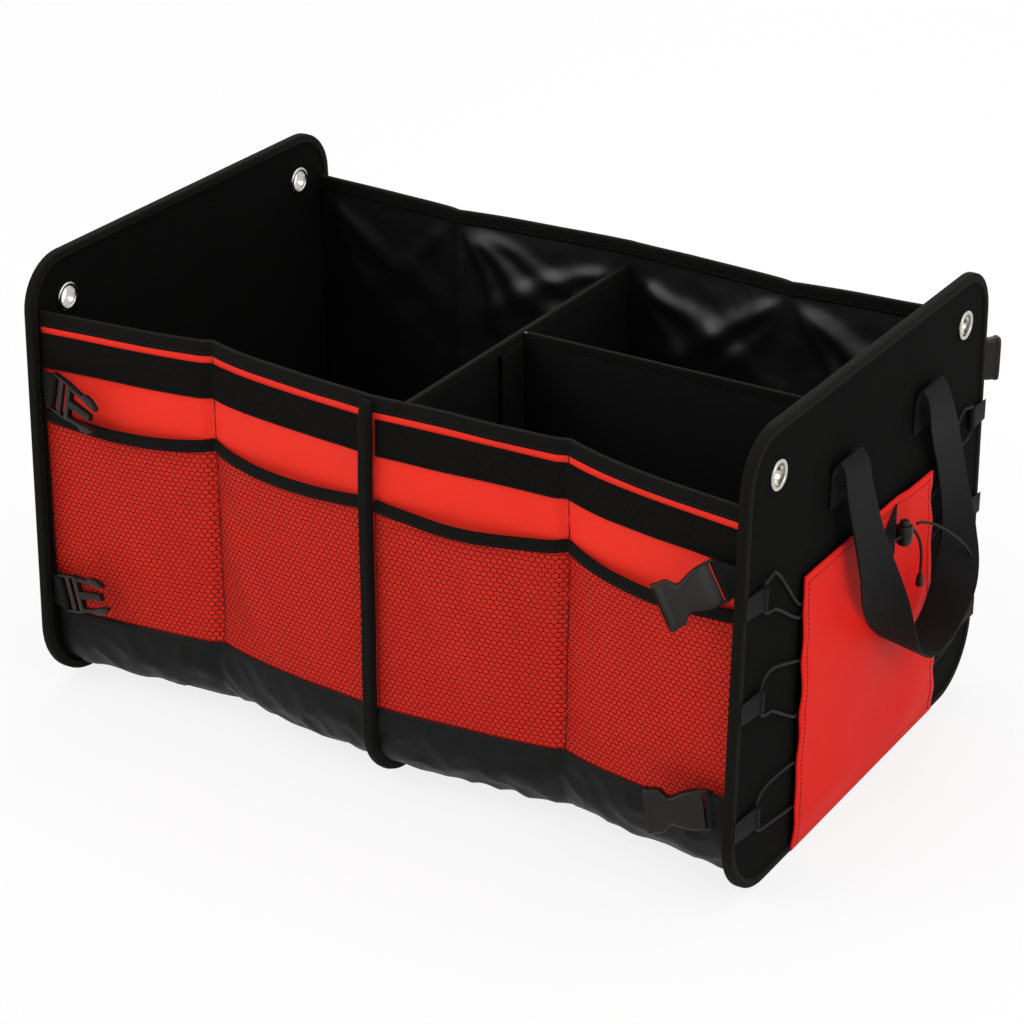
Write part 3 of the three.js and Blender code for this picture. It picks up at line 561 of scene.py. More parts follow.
@finish
def coated_lining():
    """Lining cloth with a smooth coated face: black, with a satin shine along its creases."""
    made, tree, shader = surface("coated lining", Roughness=0.42, Specular_IOR_Level=0.5)
    place = node(tree, "ShaderNodeTexCoord").outputs["Object"]
    crease = node(
        tree, "ShaderNodeTexNoise",
        {"Vector": place, "Scale": 34.0, "Detail": 3.0, "Roughness": 0.5, "Distortion": 1.2})
    fine = node(tree, "ShaderNodeTexNoise", {"Vector": place, "Scale": 900.0, "Detail": 2.0})
    dark, light = shades(colours().lining, 0.35)
    tone = node(
        tree, "ShaderNodeMix", {"Factor": fine.outputs[0], 6: dark, 7: light}, data_type="RGBA")
    tree.links.new(tone.outputs[2], shader.inputs["Base Color"])
    soft = node(
        tree, "ShaderNodeBump", {"Height": crease.outputs[0], "Distance": 0.0010, "Strength": 0.3})
    bump = node(
        tree, "ShaderNodeBump",
        {"Height": fine.outputs[0], "Distance": 0.0001, "Strength": 0.4,
         "Normal": soft.outputs["Normal"]})
    tree.links.new(bump.outputs["Normal"], shader.inputs["Normal"])
    return made


@finish
def ribbed_webbing():
    """Woven polypropylene webbing: rows of short raised floats, staggered like bricks."""
    made, tree, shader = surface("ribbed webbing", Roughness=0.75, Specular_IOR_Level=0.16)
    place = node(tree, "ShaderNodeUVMap", uv_map="UVMap").outputs[0]
    # floats 2.6 mm long in rows 1.7 mm apart, coarser than real ones so that they show
    floats = node(
        tree, "ShaderNodeTexBrick",
        {"Vector": place, "Scale": 1000.0, "Mortar Size": 0.32, "Mortar Smooth": 0.9,
         "Brick Width": 2.6, "Row Height": 1.7}, offset=0.5)
    raised = node(tree, "ShaderNodeMath", {0: 1.0, 1: floats.outputs["Fac"]}, operation="SUBTRACT")
    dark, light = shades(colours().webbing, 0.7)
    tone = node(
        tree, "ShaderNodeMix", {"Factor": raised.outputs[0], 6: dark, 7: light}, data_type="RGBA")
    tree.links.new(tone.outputs[2], shader.inputs["Base Color"])
    bump = node(
        tree, "ShaderNodeBump", {"Height": raised.outputs[0], "Distance": 0.0004, "Strength": 0.75})
    tree.links.new(bump.outputs["Normal"], shader.inputs["Normal"])
    return made


@finish
def loop_tape():
    """Hook-and-loop tape: a dense black nap of tiny loops."""
    made, tree, shader = surface("hook and loop tape", Roughness=0.95, Specular_IOR_Level=0.05)
    place = node(tree, "ShaderNodeTexCoord").outputs["Object"]
    # loops about 1 mm apart
    loops = node(tree, "ShaderNodeTexVoronoi", {"Vector": place, "Scale": 950.0})
    dark, light = shades(linear("#171615"), 0.6)
    tone = node(
        tree, "ShaderNodeMix", {"Factor": loops.outputs["Distance"], 6: dark, 7: light},
        data_type="RGBA")
    tree.links.new(tone.outputs[2], shader.inputs["Base Color"])
    bump = node(
        tree, "ShaderNodeBump",
        {"Height": loops.outputs["Distance"], "Distance": 0.0006, "Strength": 0.7})
    tree.links.new(bump.outputs["Normal"], shader.inputs["Normal"])
    return made


@finish
def moulded_acetal():
    """Injection-moulded acetal: dark grey, satin, with a fine spark-eroded skin."""
    made, tree, shader = surface("moulded acetal", Roughness=0.4, IOR=1.48, Specular_IOR_Level=0.24)
    place = node(tree, "ShaderNodeTexCoord").outputs["Object"]
    # mould texture about 0.5 mm across
    skin = node(tree, "ShaderNodeTexNoise", {"Vector": place, "Scale": 1900.0, "Detail": 2.0})
    dark, light = shades(colours().plastic, 0.18)
    tone = node(
        tree, "ShaderNodeMix", {"Factor": skin.outputs[0], 6: dark, 7: light}, data_type="RGBA")
    tree.links.new(tone.outputs[2], shader.inputs["Base Color"])
    bump = node(
        tree, "ShaderNodeBump", {"Height": skin.outputs[0], "Distance": 0.00006, "Strength": 0.5})
    tree.links.new(bump.outputs["Normal"], shader.inputs["Normal"])
    return made


@finish
def calendered_vinyl():
    """Calendered soft vinyl: bright red, smooth and satin, with a very fine leathery grain."""
    made, tree, shader = surface(
        "calendered vinyl", Roughness=0.55, IOR=1.5, Specular_IOR_Level=0.06)
    place = node(tree, "ShaderNodeUVMap", uv_map="UVMap").outputs[0]
    # grain about 0.9 mm across
    grain = node(
        tree, "ShaderNodeTexVoronoi", {"Vector": place, "Scale": 1100.0}, feature="SMOOTH_F1")
    cloud = node(tree, "ShaderNodeTexNoise", {"Vector": place, "Scale": 16.0, "Detail": 3.0})
    dark, light = shades(colours().vinyl, 0.1)
    tone = node(
        tree, "ShaderNodeMix", {"Factor": cloud.outputs[0], 6: dark, 7: light}, data_type="RGBA")
    tree.links.new(tone.outputs[2], shader.inputs["Base Color"])
    soft = node(
        tree, "ShaderNodeBump", {"Height": cloud.outputs[0], "Distance": 0.0008, "Strength": 0.25})
    bump = node(
        tree, "ShaderNodeBump",
        {"Height": grain.outputs["Distance"], "Distance": 0.00008, "Strength": 0.35,
         "Normal": soft.outputs["Normal"]})
    tree.links.new(bump.outputs["Normal"], shader.inputs["Normal"])
    return made


@finish
def nickel_plate():
    """Nickel-plated brass: bright, with faint drawing marks and handling scratches."""
    made, tree, shader = surface("nickel plate", Base_Color=tuple(colours().plate), Metallic=1.0)
    place = node(tree, "ShaderNodeTexCoord").outputs["Object"]
    marks = node(tree, "ShaderNodeTexNoise", {"Vector": place, "Scale": 700.0, "Detail": 3.0})
    rough = node(
        tree, "ShaderNodeMapRange", {"Value": marks.outputs[0], "To Min": 0.14, "To Max": 0.3})
    tree.links.new(rough.outputs[0], shader.inputs["Roughness"])
    bump = node(
        tree, "ShaderNodeBump", {"Height": marks.outputs[0], "Distance": 0.00003, "Strength": 0.4})
    tree.links.new(bump.outputs["Normal"], shader.inputs["Normal"])
    return made


@finish
def spring_wire():
    """Hard-drawn steel wire: grey and finely scored along its length."""
    made, tree, shader = surface(
        "spring wire", Base_Color=linear("#b4b4b2"), Metallic=1.0, Roughness=0.3)
    place = node(tree, "ShaderNodeTexCoord").outputs["Object"]
    marks = node(tree, "ShaderNodeTexNoise", {"Vector": place, "Scale": 2500.0})
    bump = node(
        tree, "ShaderNodeBump", {"Height": marks.outputs[0], "Distance": 0.00003, "Strength": 0.4})
    tree.links.new(bump.outputs["Normal"], shader.inputs["Normal"])
    return made


@finish
def braided_elastic():
    """Round elastic cord in a braided polyester sleeve: black, with slanting strands."""
    made, tree, shader = surface("braided elastic", Roughness=0.72, Specular_IOR_Level=0.2)
    place = node(tree, "ShaderNodeUVMap", uv_map="UVMap").outputs[0]
    # strands 1.1 mm apart, about twice the real spacing so that they show
    strands = []
    for slant in (35, -35):
        tilted = node(
            tree, "ShaderNodeMapping", {"Vector": place, "Rotation": (0, 0, math.radians(slant))})
        wave = node(
            tree, "ShaderNodeTexWave", {"Vector": tilted.outputs[0], "Scale": per_mm(1.1)})
        strands.append(wave.outputs["Fac"])
    braid = node(tree, "ShaderNodeMath", {0: strands[0], 1: strands[1]}, operation="MAXIMUM")
    dark, light = shades(linear("#1c1b1a"), 0.5)
    tone = node(
        tree, "ShaderNodeMix", {"Factor": braid.outputs[0], 6: dark, 7: light}, data_type="RGBA")
    tree.links.new(tone.outputs[2], shader.inputs["Base Color"])
    bump = node(
        tree, "ShaderNodeBump", {"Height": braid.outputs[0], "Distance": 0.0002, "Strength": 0.6})
    tree.links.new(bump.outputs["Normal"], shader.inputs["Normal"])
    return made


def thread(name, tone):
    """Twisted sewing thread with a slight gloss on each stitch."""
    made, tree, shader = surface(name, Base_Color=tone, Roughness=0.6, Specular_IOR_Level=0.15)
    place = node(tree, "ShaderNodeTexCoord").outputs["Object"]
    twist = node(tree, "ShaderNodeTexNoise", {"Vector": place, "Scale": 2400.0})
    bump = node(
        tree, "ShaderNodeBump", {"Height": twist.outputs[0], "Distance": 0.0001, "Strength": 0.5})
    tree.links.new(bump.outputs["Normal"], shader.inputs["Normal"])
    return made


@finish
def sewing_thread():
    """Bonded nylon thread, near black."""
    return thread("sewing thread", linear("#1e1d1b"))


@finish
def red_thread_painted_groove_shade():
    """Red polyester thread, much darker than the vinyl that it is sewn through: the darkness is painted
    shade of the groove that the stitches sink into.
    """
    # the thread's own red, darkened with painted shade of the stitch groove
    return thread("red thread with painted groove shade", linear("#7c120c"))


# ---- the box's own shape


def panel_half(z):
    return PANEL_DEPTH[0] / 2 - z * LEAN


REAR_CREASE = 0.010
HITCH, SAG = 0.0034, -0.0085  # how much the front rim lies higher at the left, and lower at the right


def fold(side, x):
    """How far the wall folds in: sharpest at the quarter seams."""
    share = 1 - abs(abs(x) - QUARTER) / QUARTER
    depth = sizes().crease if side < 0 else REAR_CREASE
    return depth * (0.75 * share + 0.25 * share ** 4)


def pleat(side, x, z):
    """The narrow pleat at a quarter seam: steep on its left, easing out on its right."""
    beyond = x - math.copysign(QUARTER, x)
    share = ease(1 + beyond / 0.009) if beyond < 0 else math.exp(-beyond / 0.013)
    deep = lerp(0.0040, 0.0022, ease((z - 0.2) / 0.09)) if side < 0 else 0.0012
    return deep * share * ease((z - 0.03) / 0.06)


def lift(side, x, z):
    """How far the front wall's cloth is hitched up at the left, and sags towards its right end."""
    if side > 0 or z < BEND_HEIGHT:
        return 0.0
    at_rim = lerp(HITCH, SAG, ease((x - 0.01) / 0.28))
    return at_rim * (z - BEND_HEIGHT) / (RIM - BEND_HEIGHT)


def drape(side, x, z):
    """Slow waves that every layer of a wall shares."""
    near_rim = ease((RIM - z) / 0.05)
    near_end = ease((WALL_END - abs(x)) / 0.03)
    wave = ripple(x, z * 0.6, 3.1 * side, 0.075) + 0.5 * ripple(x, z * 0.5, 7.7 * side, 0.032)
    return 0.0017 * wave * (0.25 + 0.75 * near_rim) * near_end


def wall_face(side, x, z):
    """How far a wall's outer face is from the middle of the box."""
    setback = lerp(SETBACK[0], SETBACK[1], z / RIM)
    return panel_half(z) - setback - fold(side, x) - pleat(side, x, z) + drape(side, x, z)


def wall(side, x, z, out):
    """A point of a wall, out from its outer face."""
    return Vector((x, side * (wall_face(side, x, z) + out), z + lift(side, x, z)))


def hoop(side, x, out, run):
    """A point on the cloth's way from the middle of the floor, round the bend and up the wall."""
    centre = wall_face(side, x, BEND_HEIGHT) - BEND
    if run < centre:
        return Vector((x, side * run, FLOOR - out))
    run -= centre
    turn = BEND * math.pi / 2
    if run < turn:
        a = math.pi / 2 - run / BEND
        y, z = (BEND + out) * math.cos(a), (BEND + out) * math.sin(a)
        return Vector((x, side * (centre + y), BEND_HEIGHT - z))
    return wall(side, x, BEND_HEIGHT + run - turn, out)


def hoop_length(side, x, top):
    """The cloth's run from the middle of the floor to this height up the wall."""
    return wall_face(side, x, BEND_HEIGHT) - BEND + BEND * math.pi / 2 + top - BEND_HEIGHT


def along_box(u):
    """x for u from 0 to 1, with a station on every seam."""
    stops = (-WALL_END, -QUARTER, 0.0, QUARTER, WALL_END)
    k = min(int(u * 4), 3)
    return lerp(stops[k], stops[k + 1], u * 4 - k)


def out_of(side):
    return Vector((0, side, 0))


def pucker(x, z):
    """Small gathers at the quarter seams, and soft folds behind the pockets' nets."""
    near = math.exp(-abs(abs(x) - QUARTER) / 0.008)
    share = min(1.0, max(0.0, (z - BAND_TOP) / (mouth(x) - BAND_TOP)))
    slack = 0.0022 * (0.5 + ripple(x + 0.09 * share, share * 0.04, 5.0, 0.024)) * across_pocket(x)
    gathers = 0.0007 * near * ripple(x, z, 1.7, 0.006)
    return gathers + max(0.0, slack) * 2.6 * math.sqrt(share) * (1 - share)


PINS = (  # where the lining is gathered, then the way, width and size of each fold that runs from there
    (-0.285, 0.285, ((58, 9, 0.5), (38, 8, 0.35))),
    (-QUARTER, 0.288, ((50, 9, 1.0), (30, 7, 0.8), (68, 6, 0.5), (-48, 8, 0.35))),
    (0.0, 0.272, ((-66, 8, 0.7), (-42, 9, 0.5), (62, 9, 0.9), (38, 8, 0.5))),
    (QUARTER, 0.285, ((52, 9, 1.0), (33, 7, 0.7), (-56, 9, 0.9), (-34, 8, 0.4))),
    (0.285, 0.285, ((-58, 9, 0.5), (-38, 8, 0.3))),
)


def wrinkles(side, x, z):
    """Folds of the lining that fan out from where it is gathered, as a distance into the box."""
    total = 0.0
    for k, (px, pz, folds) in enumerate(PINS):
        dx, dz = x - px, pz - z
        reach = math.hypot(dx, dz) + 1e-6
        angle = math.degrees(math.atan2(dx, dz)) + 9 * ripple(x, z, k, 0.07)
        run = ease(reach / 0.035) * math.exp(-((reach - 0.04) / 0.105) ** 2)
        for heading, width, size in folds:
            wide = width * (0.55 + 1.2 * min(1.0, 0.025 / reach))
            total += 1.9 * size * run * math.exp(-((angle - heading) / wide) ** 2)
    total += 0.35 * (0.5 + ripple(x, z, 4.4, 0.03)) + 0.12 * (0.5 + ripple(x, z, 8.8, 0.011))
    edges = ease((RIM - 0.006 - z) / 0.02) * ease((z - BEND_HEIGHT + 0.02) / 0.05)
    edges *= ease((abs(x) - 0.006) / 0.016) * ease((WALL_END - abs(x)) / 0.02)
    return (0.0030 if side > 0 else 0.0016) * max(total, 0.0) * edges


# ---- pieces: walls, lining and the cloth under the floor


def add_walls():
    red_foot = BAND_TOP - 0.006
    for side, word, finish_name, slot in (
            (-1, "front", "red_oxford", "red_twill"), (1, "rear", "crinkled_nylon", "black_nylon")):
        def place(u, v, side=side):
            x, z = along_box(u), lerp(red_foot, WALL_TOP, v)
            return wall(side, x, z, -CLOTH / 2 + pucker(x, z))

        cloth = grid(248, 72, (WIDTH, WALL_TOP - red_foot), place)
        made = piece(f"{word}_cloth", cloth, finish_name, [f"{word}_wall"])
        thicken(made, CLOTH)
    low = BEND_HEIGHT - 72 / 90 * BEND * math.pi / 2  # the lining ends this far round the bend
    for side, word in WALLS:
        def place(u, v, side=side):
            x, run = along_box(u), lerp(low, WALL_TOP, v)
            into = LINING - wrinkles(side, x, run)
            if run >= BEND_HEIGHT:
                return wall(side, x, run, into)
            return hoop(side, x, into, hoop_length(side, x, run))

        made = piece(
            f"{word}_lining_cloth", grid(280, 130, (WIDTH, WALL_TOP - low), place), "coated_lining",
            [f"{word}_lining"])
        thicken(made, CLOTH)


def add_base_cloth():
    """The black nylon band, from one wall under the floor to the other."""
    total = 2 * hoop_length(-1, 0.0, BAND_TOP)

    def place(u, v):
        x = along_box(u)
        side = -1 if v < 0.5 else 1
        share = abs(2 * v - 1)
        run = share * hoop_length(side, x, BAND_TOP)
        crinkle = 0.0017 * (0.4 + ripple(x, run * 1.8, side, 0.026))
        crinkle += 0.0012 * (1 - 2.4 * abs(ripple(x, run, 5 + side, 0.022)))
        fixed = ease((1 - share) / 0.06) * ease((WALL_END - abs(x)) / 0.012)
        return hoop(side, x, GAP + CLOTH / 2 + max(crinkle, 0) * (0.15 + 0.85 * fixed), run)

    made = piece(
        "floor_cloth", grid(280, 200, (WIDTH, total), place), "crinkled_nylon",
        ["base_cloth"])
    thicken(made, CLOTH)
    rows = []
    for side in (-1, 1):
        z, out = BAND_TOP - 0.0032, GAP + CLOTH + 0.0004
        path = [wall(side, along_box(u), z, out) for u in spaced(0, 1, 200)]
        rows.append(stitches(path, out_of(side)))
    piece("floor_cloth_stitches", join(*rows), "sewing_thread")
    for word in ("left", "right"):
        paint(f"base_board_{word}", "coated_lining")


# ---- pieces: tapes and bindings


def tape_along(side, xs, z_of, out_of_x, half_width, half_thick, around=14):
    """A rounded tape lying along a wall."""
    path = [wall(side, x, z_of(x), out_of_x(x)) for x in xs]
    return sweep(path, UP, (half_width, half_thick), around)


def add_rim_tapes():
    xs = [along_box(i / 248) for i in range(249)]
    middle, wide, thick = -0.00135, 0.00575, 0.00255
    for side, word in WALLS:
        def height(x, side=side):
            return RIM - wide + 0.0007 * ripple(x, 0, side, 0.06)

        tape = tape_along(side, xs, height, lambda x: middle, wide, thick)
        piece(f"{word}_rim_tape", tape, "ribbed_tape", [f"{word}_rim_binding"])
        rows = []
        for out, facing in ((middle + thick, side), (middle - thick, -side)):
            path = [wall(side, x, RIM - 0.0086, out) for x in xs]
            rows.append(stitches(path, out_of(facing)))
        piece(f"{word}_rim_stitches", join(*rows), "sewing_thread")


def panel_outline(inset, step=0.004):
    """Points (y, z) round an end panel, inset from its bound edge, about a step apart."""
    lean = math.atan(LEAN)
    quarter = math.pi / 2
    corners = (
        (PANEL_CORNER[0], 0, 1, -quarter, lean), (PANEL_CORNER[1], 1, 1, lean, quarter),
        (PANEL_CORNER[1], 1, -1, quarter, 2 * quarter - lean),
        (PANEL_CORNER[0], 0, -1, 2 * quarter - lean, 3 * quarter),
    )
    points = []
    for radius, top, side, start, end in corners:
        r = radius - inset
        z = PANEL_HEIGHT - inset - r if top else inset + r
        y = side * (panel_half(z) - (inset + r) / math.cos(lean))
        for i in range(13):
            a = lerp(start, end, i / 12)
            points.append(Vector((y + r * math.cos(a), z + r * math.sin(a))))
    points.append(points[0])
    made = []
    for a, b in zip(points, points[1:]):
        count = max(1, round((b - a).length / step))
        made += [a.lerp(b, i / count) for i in range(count)]
    return made


def add_panel_tapes():
    half = 0.0037  # of the tape's width
    for side, word in ENDS:
        path = [Vector((side * PANEL_MIDDLE, y, z)) for y, z in panel_outline(0.0035)]
        tape = sweep(path, RIGHT, (half, 0.0035), 16, closed=True, power=0.4)
        piece(f"{word}_panel_tape", tape, "ribbed_tape", [f"{word}_panel_binding"])
        rows = []
        for face in (-1, 1):
            x = side * PANEL_MIDDLE + face * half
            ring = [Vector((x, y, z)) for y, z in panel_outline(0.0049)]
            rows.append(stitches(ring, RIGHT * face, sink=0.45))
        piece(f"{word}_panel_stitches", join(*rows), "sewing_thread")


def add_seam_tape():
    """The bound seam down the middle, from one rim under the floor to the other."""
    path = []
    lengths = [hoop_length(side, 0.0, RIM - 0.0022) for side in (-1, 1)]

    def half_thick(left):
        """Half the tape's thickness with this much of its length left before its end at the rim."""
        return lerp(0.0021, 0.0043, ease(left / 0.014))

    for side, total in zip((-1, 1), lengths):
        runs = [total * i / 150 for i in range(151)]
        part = [hoop(side, 0.0, GAP + half_thick(total - run), run) for run in runs]
        path += part[::-1] if side < 0 else part[1:]
    whole = sum(lengths)
    tape = sweep(
        path, RIGHT, lambda u: (0.0046, half_thick(min(u, 1 - u) * whole)), 14, power=0.62)
    piece("centre_seam_tape", tape, "ribbed_tape", ["centre_seam_binding"])
    rows = []
    for side, total in zip((-1, 1), lengths):
        line = [hoop(side, 0.0008, 0.0088, total * i / 130) for i in range(131)]
        facing = [side * RIGHT.cross(b - a).normalized() for a, b in zip(line, line[1:])]
        if facing[60].y * side < 0:
            facing = [-f for f in facing]
        rows.append(stitches(line[:-5], facing[:-5]))
    piece("centre_seam_stitches", join(*rows), "sewing_thread")
    rows = []
    for side in (-1, 1):
        for x in (-QUARTER, QUARTER):
            line = [wall(side, x, z, 0.0001) for z in spaced(BAND_TOP + 0.002, RIM - 0.012, 60)]
            # stitches longer than their pitch join into one dark line: partly real stitching, partly
            # painted shade of the seam's crease
            rows.append(stitches(line, out_of(side), 0.0024, 0.0025, thick=0.0009))
    piece("quarter_seam_stitches_and_crease_shade", join(*rows), "sewing_thread")


def add_hook_tapes():
    high = RIM - 0.016
    wide = 0.026
    low = high - wide
    for start, end, word in HALVES:
        def place(u, v, start=start, end=end):
            return wall(-1, lerp(start, end, u), lerp(low, high, v), GAP + CLOTH / 2)

        tape = piece(
            f"hook_tape_cloth_{word}", grid(96, 8, (abs(end - start), wide), place), "loop_tape",
            [f"hook_tape_{word}"])
        thicken(tape, CLOTH)
        edge = tape_along(
            -1, spaced(start, end, 96), lambda x: low + 0.0009, lambda x: GAP + 0.0008, 0.0009, 0.0007,
            around=8)
        piece(f"hook_tape_selvedge_{word}", edge, "ribbed_tape")


# ---- pieces: net pockets


def across_pocket(x):
    """From 0 at a pocket's sides to 1 in its middle."""
    return math.sin(math.pi * (abs(x) % QUARTER) / QUARTER)


def mouth(x):
    """The height of the pockets' mouth, which sags between the seams."""
    return MOUTH - 0.0045 * across_pocket(x)


def fullness(x, share):
    """How far the net stands off the cloth, this share of the way up the pocket."""
    wave = 0.0006 * ripple(x, share * 0.15, 9.0, 0.02)
    slack = 0.0100 * ripple(x + 0.07 * share, share * 0.03, 2.0, 0.021) * share * (1 - share)
    bulge = sizes().net_bulge * across_pocket(x) + wave + slack * across_pocket(x)
    return bulge * math.sqrt(max(0.0, share))


def net_point(x, z):
    share = (z - BAND_TOP) / (mouth(x) - BAND_TOP)
    return wall(-1, x, z, GAP + 0.0007 + max(0.0, fullness(x, share)))


def repeat(bm, step, count):
    """Doubles everything in the bmesh until there are at least so many copies, a step apart."""
    done = 1
    while done < count:
        copied = bmesh.ops.duplicate(bm, geom=bm.verts[:] + bm.edges[:] + bm.faces[:])
        moved = [item for item in copied["geom"] if isinstance(item, bmesh.types.BMVert)]
        bmesh.ops.translate(bm, verts=moved, vec=step * done)
        done *= 2


def add_nets():
    """Knitted net with six-sided openings, made flat, cut to the pocket and laid on the wall."""
    pitch = sizes().net_pitch
    radius = pitch / math.sqrt(3)
    row_step = 0.0034
    tall = Matrix.Diagonal((1, row_step / (1.5 * radius), 1, 1))
    head = MOUTH - 0.0035
    for start, end, word in HALVES:
        bm = bmesh.new()
        for row in (0, 1):
            at = Vector((start + 0.5 * row * pitch, BAND_TOP + row * row_step, 0))
            bmesh.ops.create_circle(
                bm, cap_ends=True, segments=6, radius=radius,
                matrix=Matrix.Translation(at) @ tall)
        repeat(bm, Vector((pitch, 0, 0)), (end - start) / pitch + 1)
        repeat(bm, Vector((0, 2 * row_step, 0)), (head - BAND_TOP) / row_step / 2 + 1)
        bmesh.ops.remove_doubles(bm, verts=bm.verts, dist=pitch / 12)
        for point, normal in (
                ((start, 0, 0), (-1, 0, 0)), ((end, 0, 0), (1, 0, 0)), ((0, head, 0), (0, 1, 0)),
                ((0, BAND_TOP + 0.0003, 0), (0, -1, 0))):
            bmesh.ops.bisect_plane(
                bm, geom=bm.verts[:] + bm.edges[:] + bm.faces[:], dist=1e-6, plane_co=point,
                plane_no=normal, clear_outer=True)
        for vert in bm.verts:
            vert.co = net_point(vert.co.x, min(vert.co.y, mouth(vert.co.x) - 0.003))
        bmesh.ops.recalc_face_normals(bm, faces=bm.faces)
        bmesh.ops.wireframe(
            bm, faces=bm.faces, thickness=sizes().net_thread, offset=0.0, use_replace=True,
            use_boundary=True, use_even_offset=True, use_relative_offset=False)
        piece(f"net_{word}", bm, "knitted_net", [f"net_pocket_{word}"])
    wide, thick, past_seam = 0.00475, 0.0012, 0.0004

    def centre(x):
        return mouth(x) - wide

    def stand(x):
        return GAP + 0.0011 + max(0.0, fullness(x, 1))

    for start, end, word in HALVES:
        tapes, rows = [], []
        seam = math.copysign(QUARTER, start)
        beside = math.copysign(past_seam, seam)
        inner, outer = sorted((start, end), key=abs)
        for a, b in ((inner, seam - beside), (seam + beside, outer)):
            xs = spaced(a, b, 48)
            tapes.append(tape_along(-1, xs, centre, stand, wide, thick))
            path = [wall(-1, x, mouth(x) - 0.0073, stand(x) + 0.0011) for x in xs]
            rows.append(stitches(path, out_of(-1)))
        piece(
            f"pocket_tape_{word}", join(*tapes), "ribbed_tape",
            [f"pocket_binding_{word}"])
        piece(f"pocket_stitches_{word}", join(*rows), "sewing_thread")


# ---- pieces: end panels and dividers


def add_end_panels():
    bore, face, barrel, rim = 0.0076, 0.0028, 0.0083, 0.0106
    seat, crown = face + 0.0009, 0.0010
    half = [(bore, seat)]
    for i in range(9):
        a = math.pi * (1 - i / 8)
        half.append(((bore + rim) / 2 + (rim - bore) / 2 * math.cos(a), seat + crown * math.sin(a)))
    half += [(rim + 0.0001, face), (barrel, face)]
    profile = half + [(r, -h) for r, h in reversed(half)]
    for side, word in ENDS:
        paint(f"{word}_end_panel", "needled_felt")
        for y, place in ((-EYELET[0], "front"), (EYELET[0], "rear")):
            bm = turned(profile, 56)
            middle = Matrix.Translation((side * PANEL_MIDDLE, y, EYELET[1]))
            bmesh.ops.transform(
                bm, matrix=middle @ Matrix.Rotation(math.pi / 2, 4, "Y"), verts=bm.verts)
            piece(
                f"eyelet_ring_{place}_{word}", bm, "nickel_plate",
                [f"eyelet_{place}_{word}"])


def top_tape(start, end, across, half_wide, half_thick, below):
    """A tape over a divider's top edge, and a row of stitches on each of its faces."""
    path = [start.lerp(end, t) for t in spaced(0, 1, 60)]
    tape = sweep(path, UP, (half_wide, half_thick), 12, power=0.4)
    rows = []
    for face in (-1, 1):
        shift = across * face * half_thick - UP * below
        rows.append(stitches([p + shift for p in path], across * face))
    return tape, rows


def add_dividers():
    _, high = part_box("centre_divider")
    paint("centre_divider", "coated_lining")
    paint("long_divider", "coated_lining")
    half, z = high[1] - 0.0006, high[2] - 0.0035
    tape, rows = top_tape(Vector((0, -half, z)), Vector((0, half, z)), RIGHT, 0.0042, 0.0024, 0.0022)
    piece("divider_top_tape", tape, "ribbed_tape")
    low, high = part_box("long_divider")
    y, z = (low[1] + high[1]) / 2, high[2] - 0.0032
    start, end = Vector((low[0] + 0.003, y, z)), Vector((high[0] - 0.001, y, z))
    tape, more = top_tape(start, end, REARWARDS, 0.0040, 0.0019, 0.002)
    piece("long_divider_top_tape", tape, "ribbed_tape")
    piece("divider_stitches", join(*rows, *more), "sewing_thread")
    for word, facing in (("inner", 1), ("outer", -1)):
        low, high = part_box(f"divider_flap_{word}")

        def place(u, v, low=low, high=high, facing=facing):
            y, z = lerp(low[1], high[1], u), lerp(low[2], high[2], v)
            curl = 0.0016 * ease(1 - u) ** 2 * (1 + 0.5 * math.sin(9 * v))
            return Vector(((low[0] + high[0]) / 2 + facing * curl, y, z))

        flap = grid(12, 60, (high[1] - low[1], high[2] - low[2]), place)
        made = piece(f"flap_cloth_{word}", flap, "loop_tape", [f"divider_flap_{word}"])
        thicken(made, CLOTH)


# ---- pieces: handles

HANDLE_FACE = WIDTH / 2 + GAP + 0.0009
HANDLE_ROUTE = (  # out from the face, y and z in millimetres, then the width's heading in degrees
    (0.1, -50, 244, 90), (0.2, -50, 262, 90), (1.4, -50, 272, 90), (5, -49.5, 277, 90),
    (9, -49, 272, 88), (11, -46, 255, 86), (14.5, -39, 226, 84), (19, -29, 190, 74),
    (21.5, -12, 150, 36), (21.5, 12, 115, -8), (21, 44, 97, -24), (21.5, 76, 100, -10),
    (20.5, 104, 122, 24), (15, 119, 150, 62), (9.5, 116, 190, 80),
    (8.5, 102, 228, 85), (10, 84, 258, 88), (8.5, 79, 274, 90), (4.5, 78, 280, 90), (1.4, 78, 275, 90),
    (0.2, 78, 265, 90), (0.1, 78, 247, 90),
)


HANDLE_SEAMS = ((-0.050, 0.2455, 0.2655), (0.078, 0.2485, 0.2685))  # y, low and high of each sewn box


def add_handles():
    for side, word in ENDS:
        route = [
            (side * (HANDLE_FACE + x / 1000), y / 1000, z / 1000) for x, y, z, _ in HANDLE_ROUTE]
        headings = [math.radians(h) for *_, h in HANDLE_ROUTE]
        path = through(route, 168)
        widths = through([(side * math.cos(h), math.sin(h), 0) for h in headings], 168)
        strap = sweep(path, widths, (0.016, 0.0009), 20, power=0.22)
        piece(f"{word}_handle_strap", strap, "ribbed_webbing", [f"{word}_handle"])
        rows = []
        x = side * (HANDLE_FACE + 0.0011)
        for y, low, high in HANDLE_SEAMS:
            left, right = y - 0.012, y + 0.012
            box = [(left, low), (right, low), (right, high), (left, high), (left, low)]
            cross = [(left, low), (right, high)], [(right, low), (left, high)]
            for line in (box, *cross):
                points = [Vector((x, a, b)) for a, b in line]
                rows.append(stitches(points, RIGHT * side, 0.0030, 0.0022, 0.0009))
        piece(f"{word}_handle_stitches", join(*rows), "sewing_thread")


# ---- pieces: the laced sheet, its lock and its cord

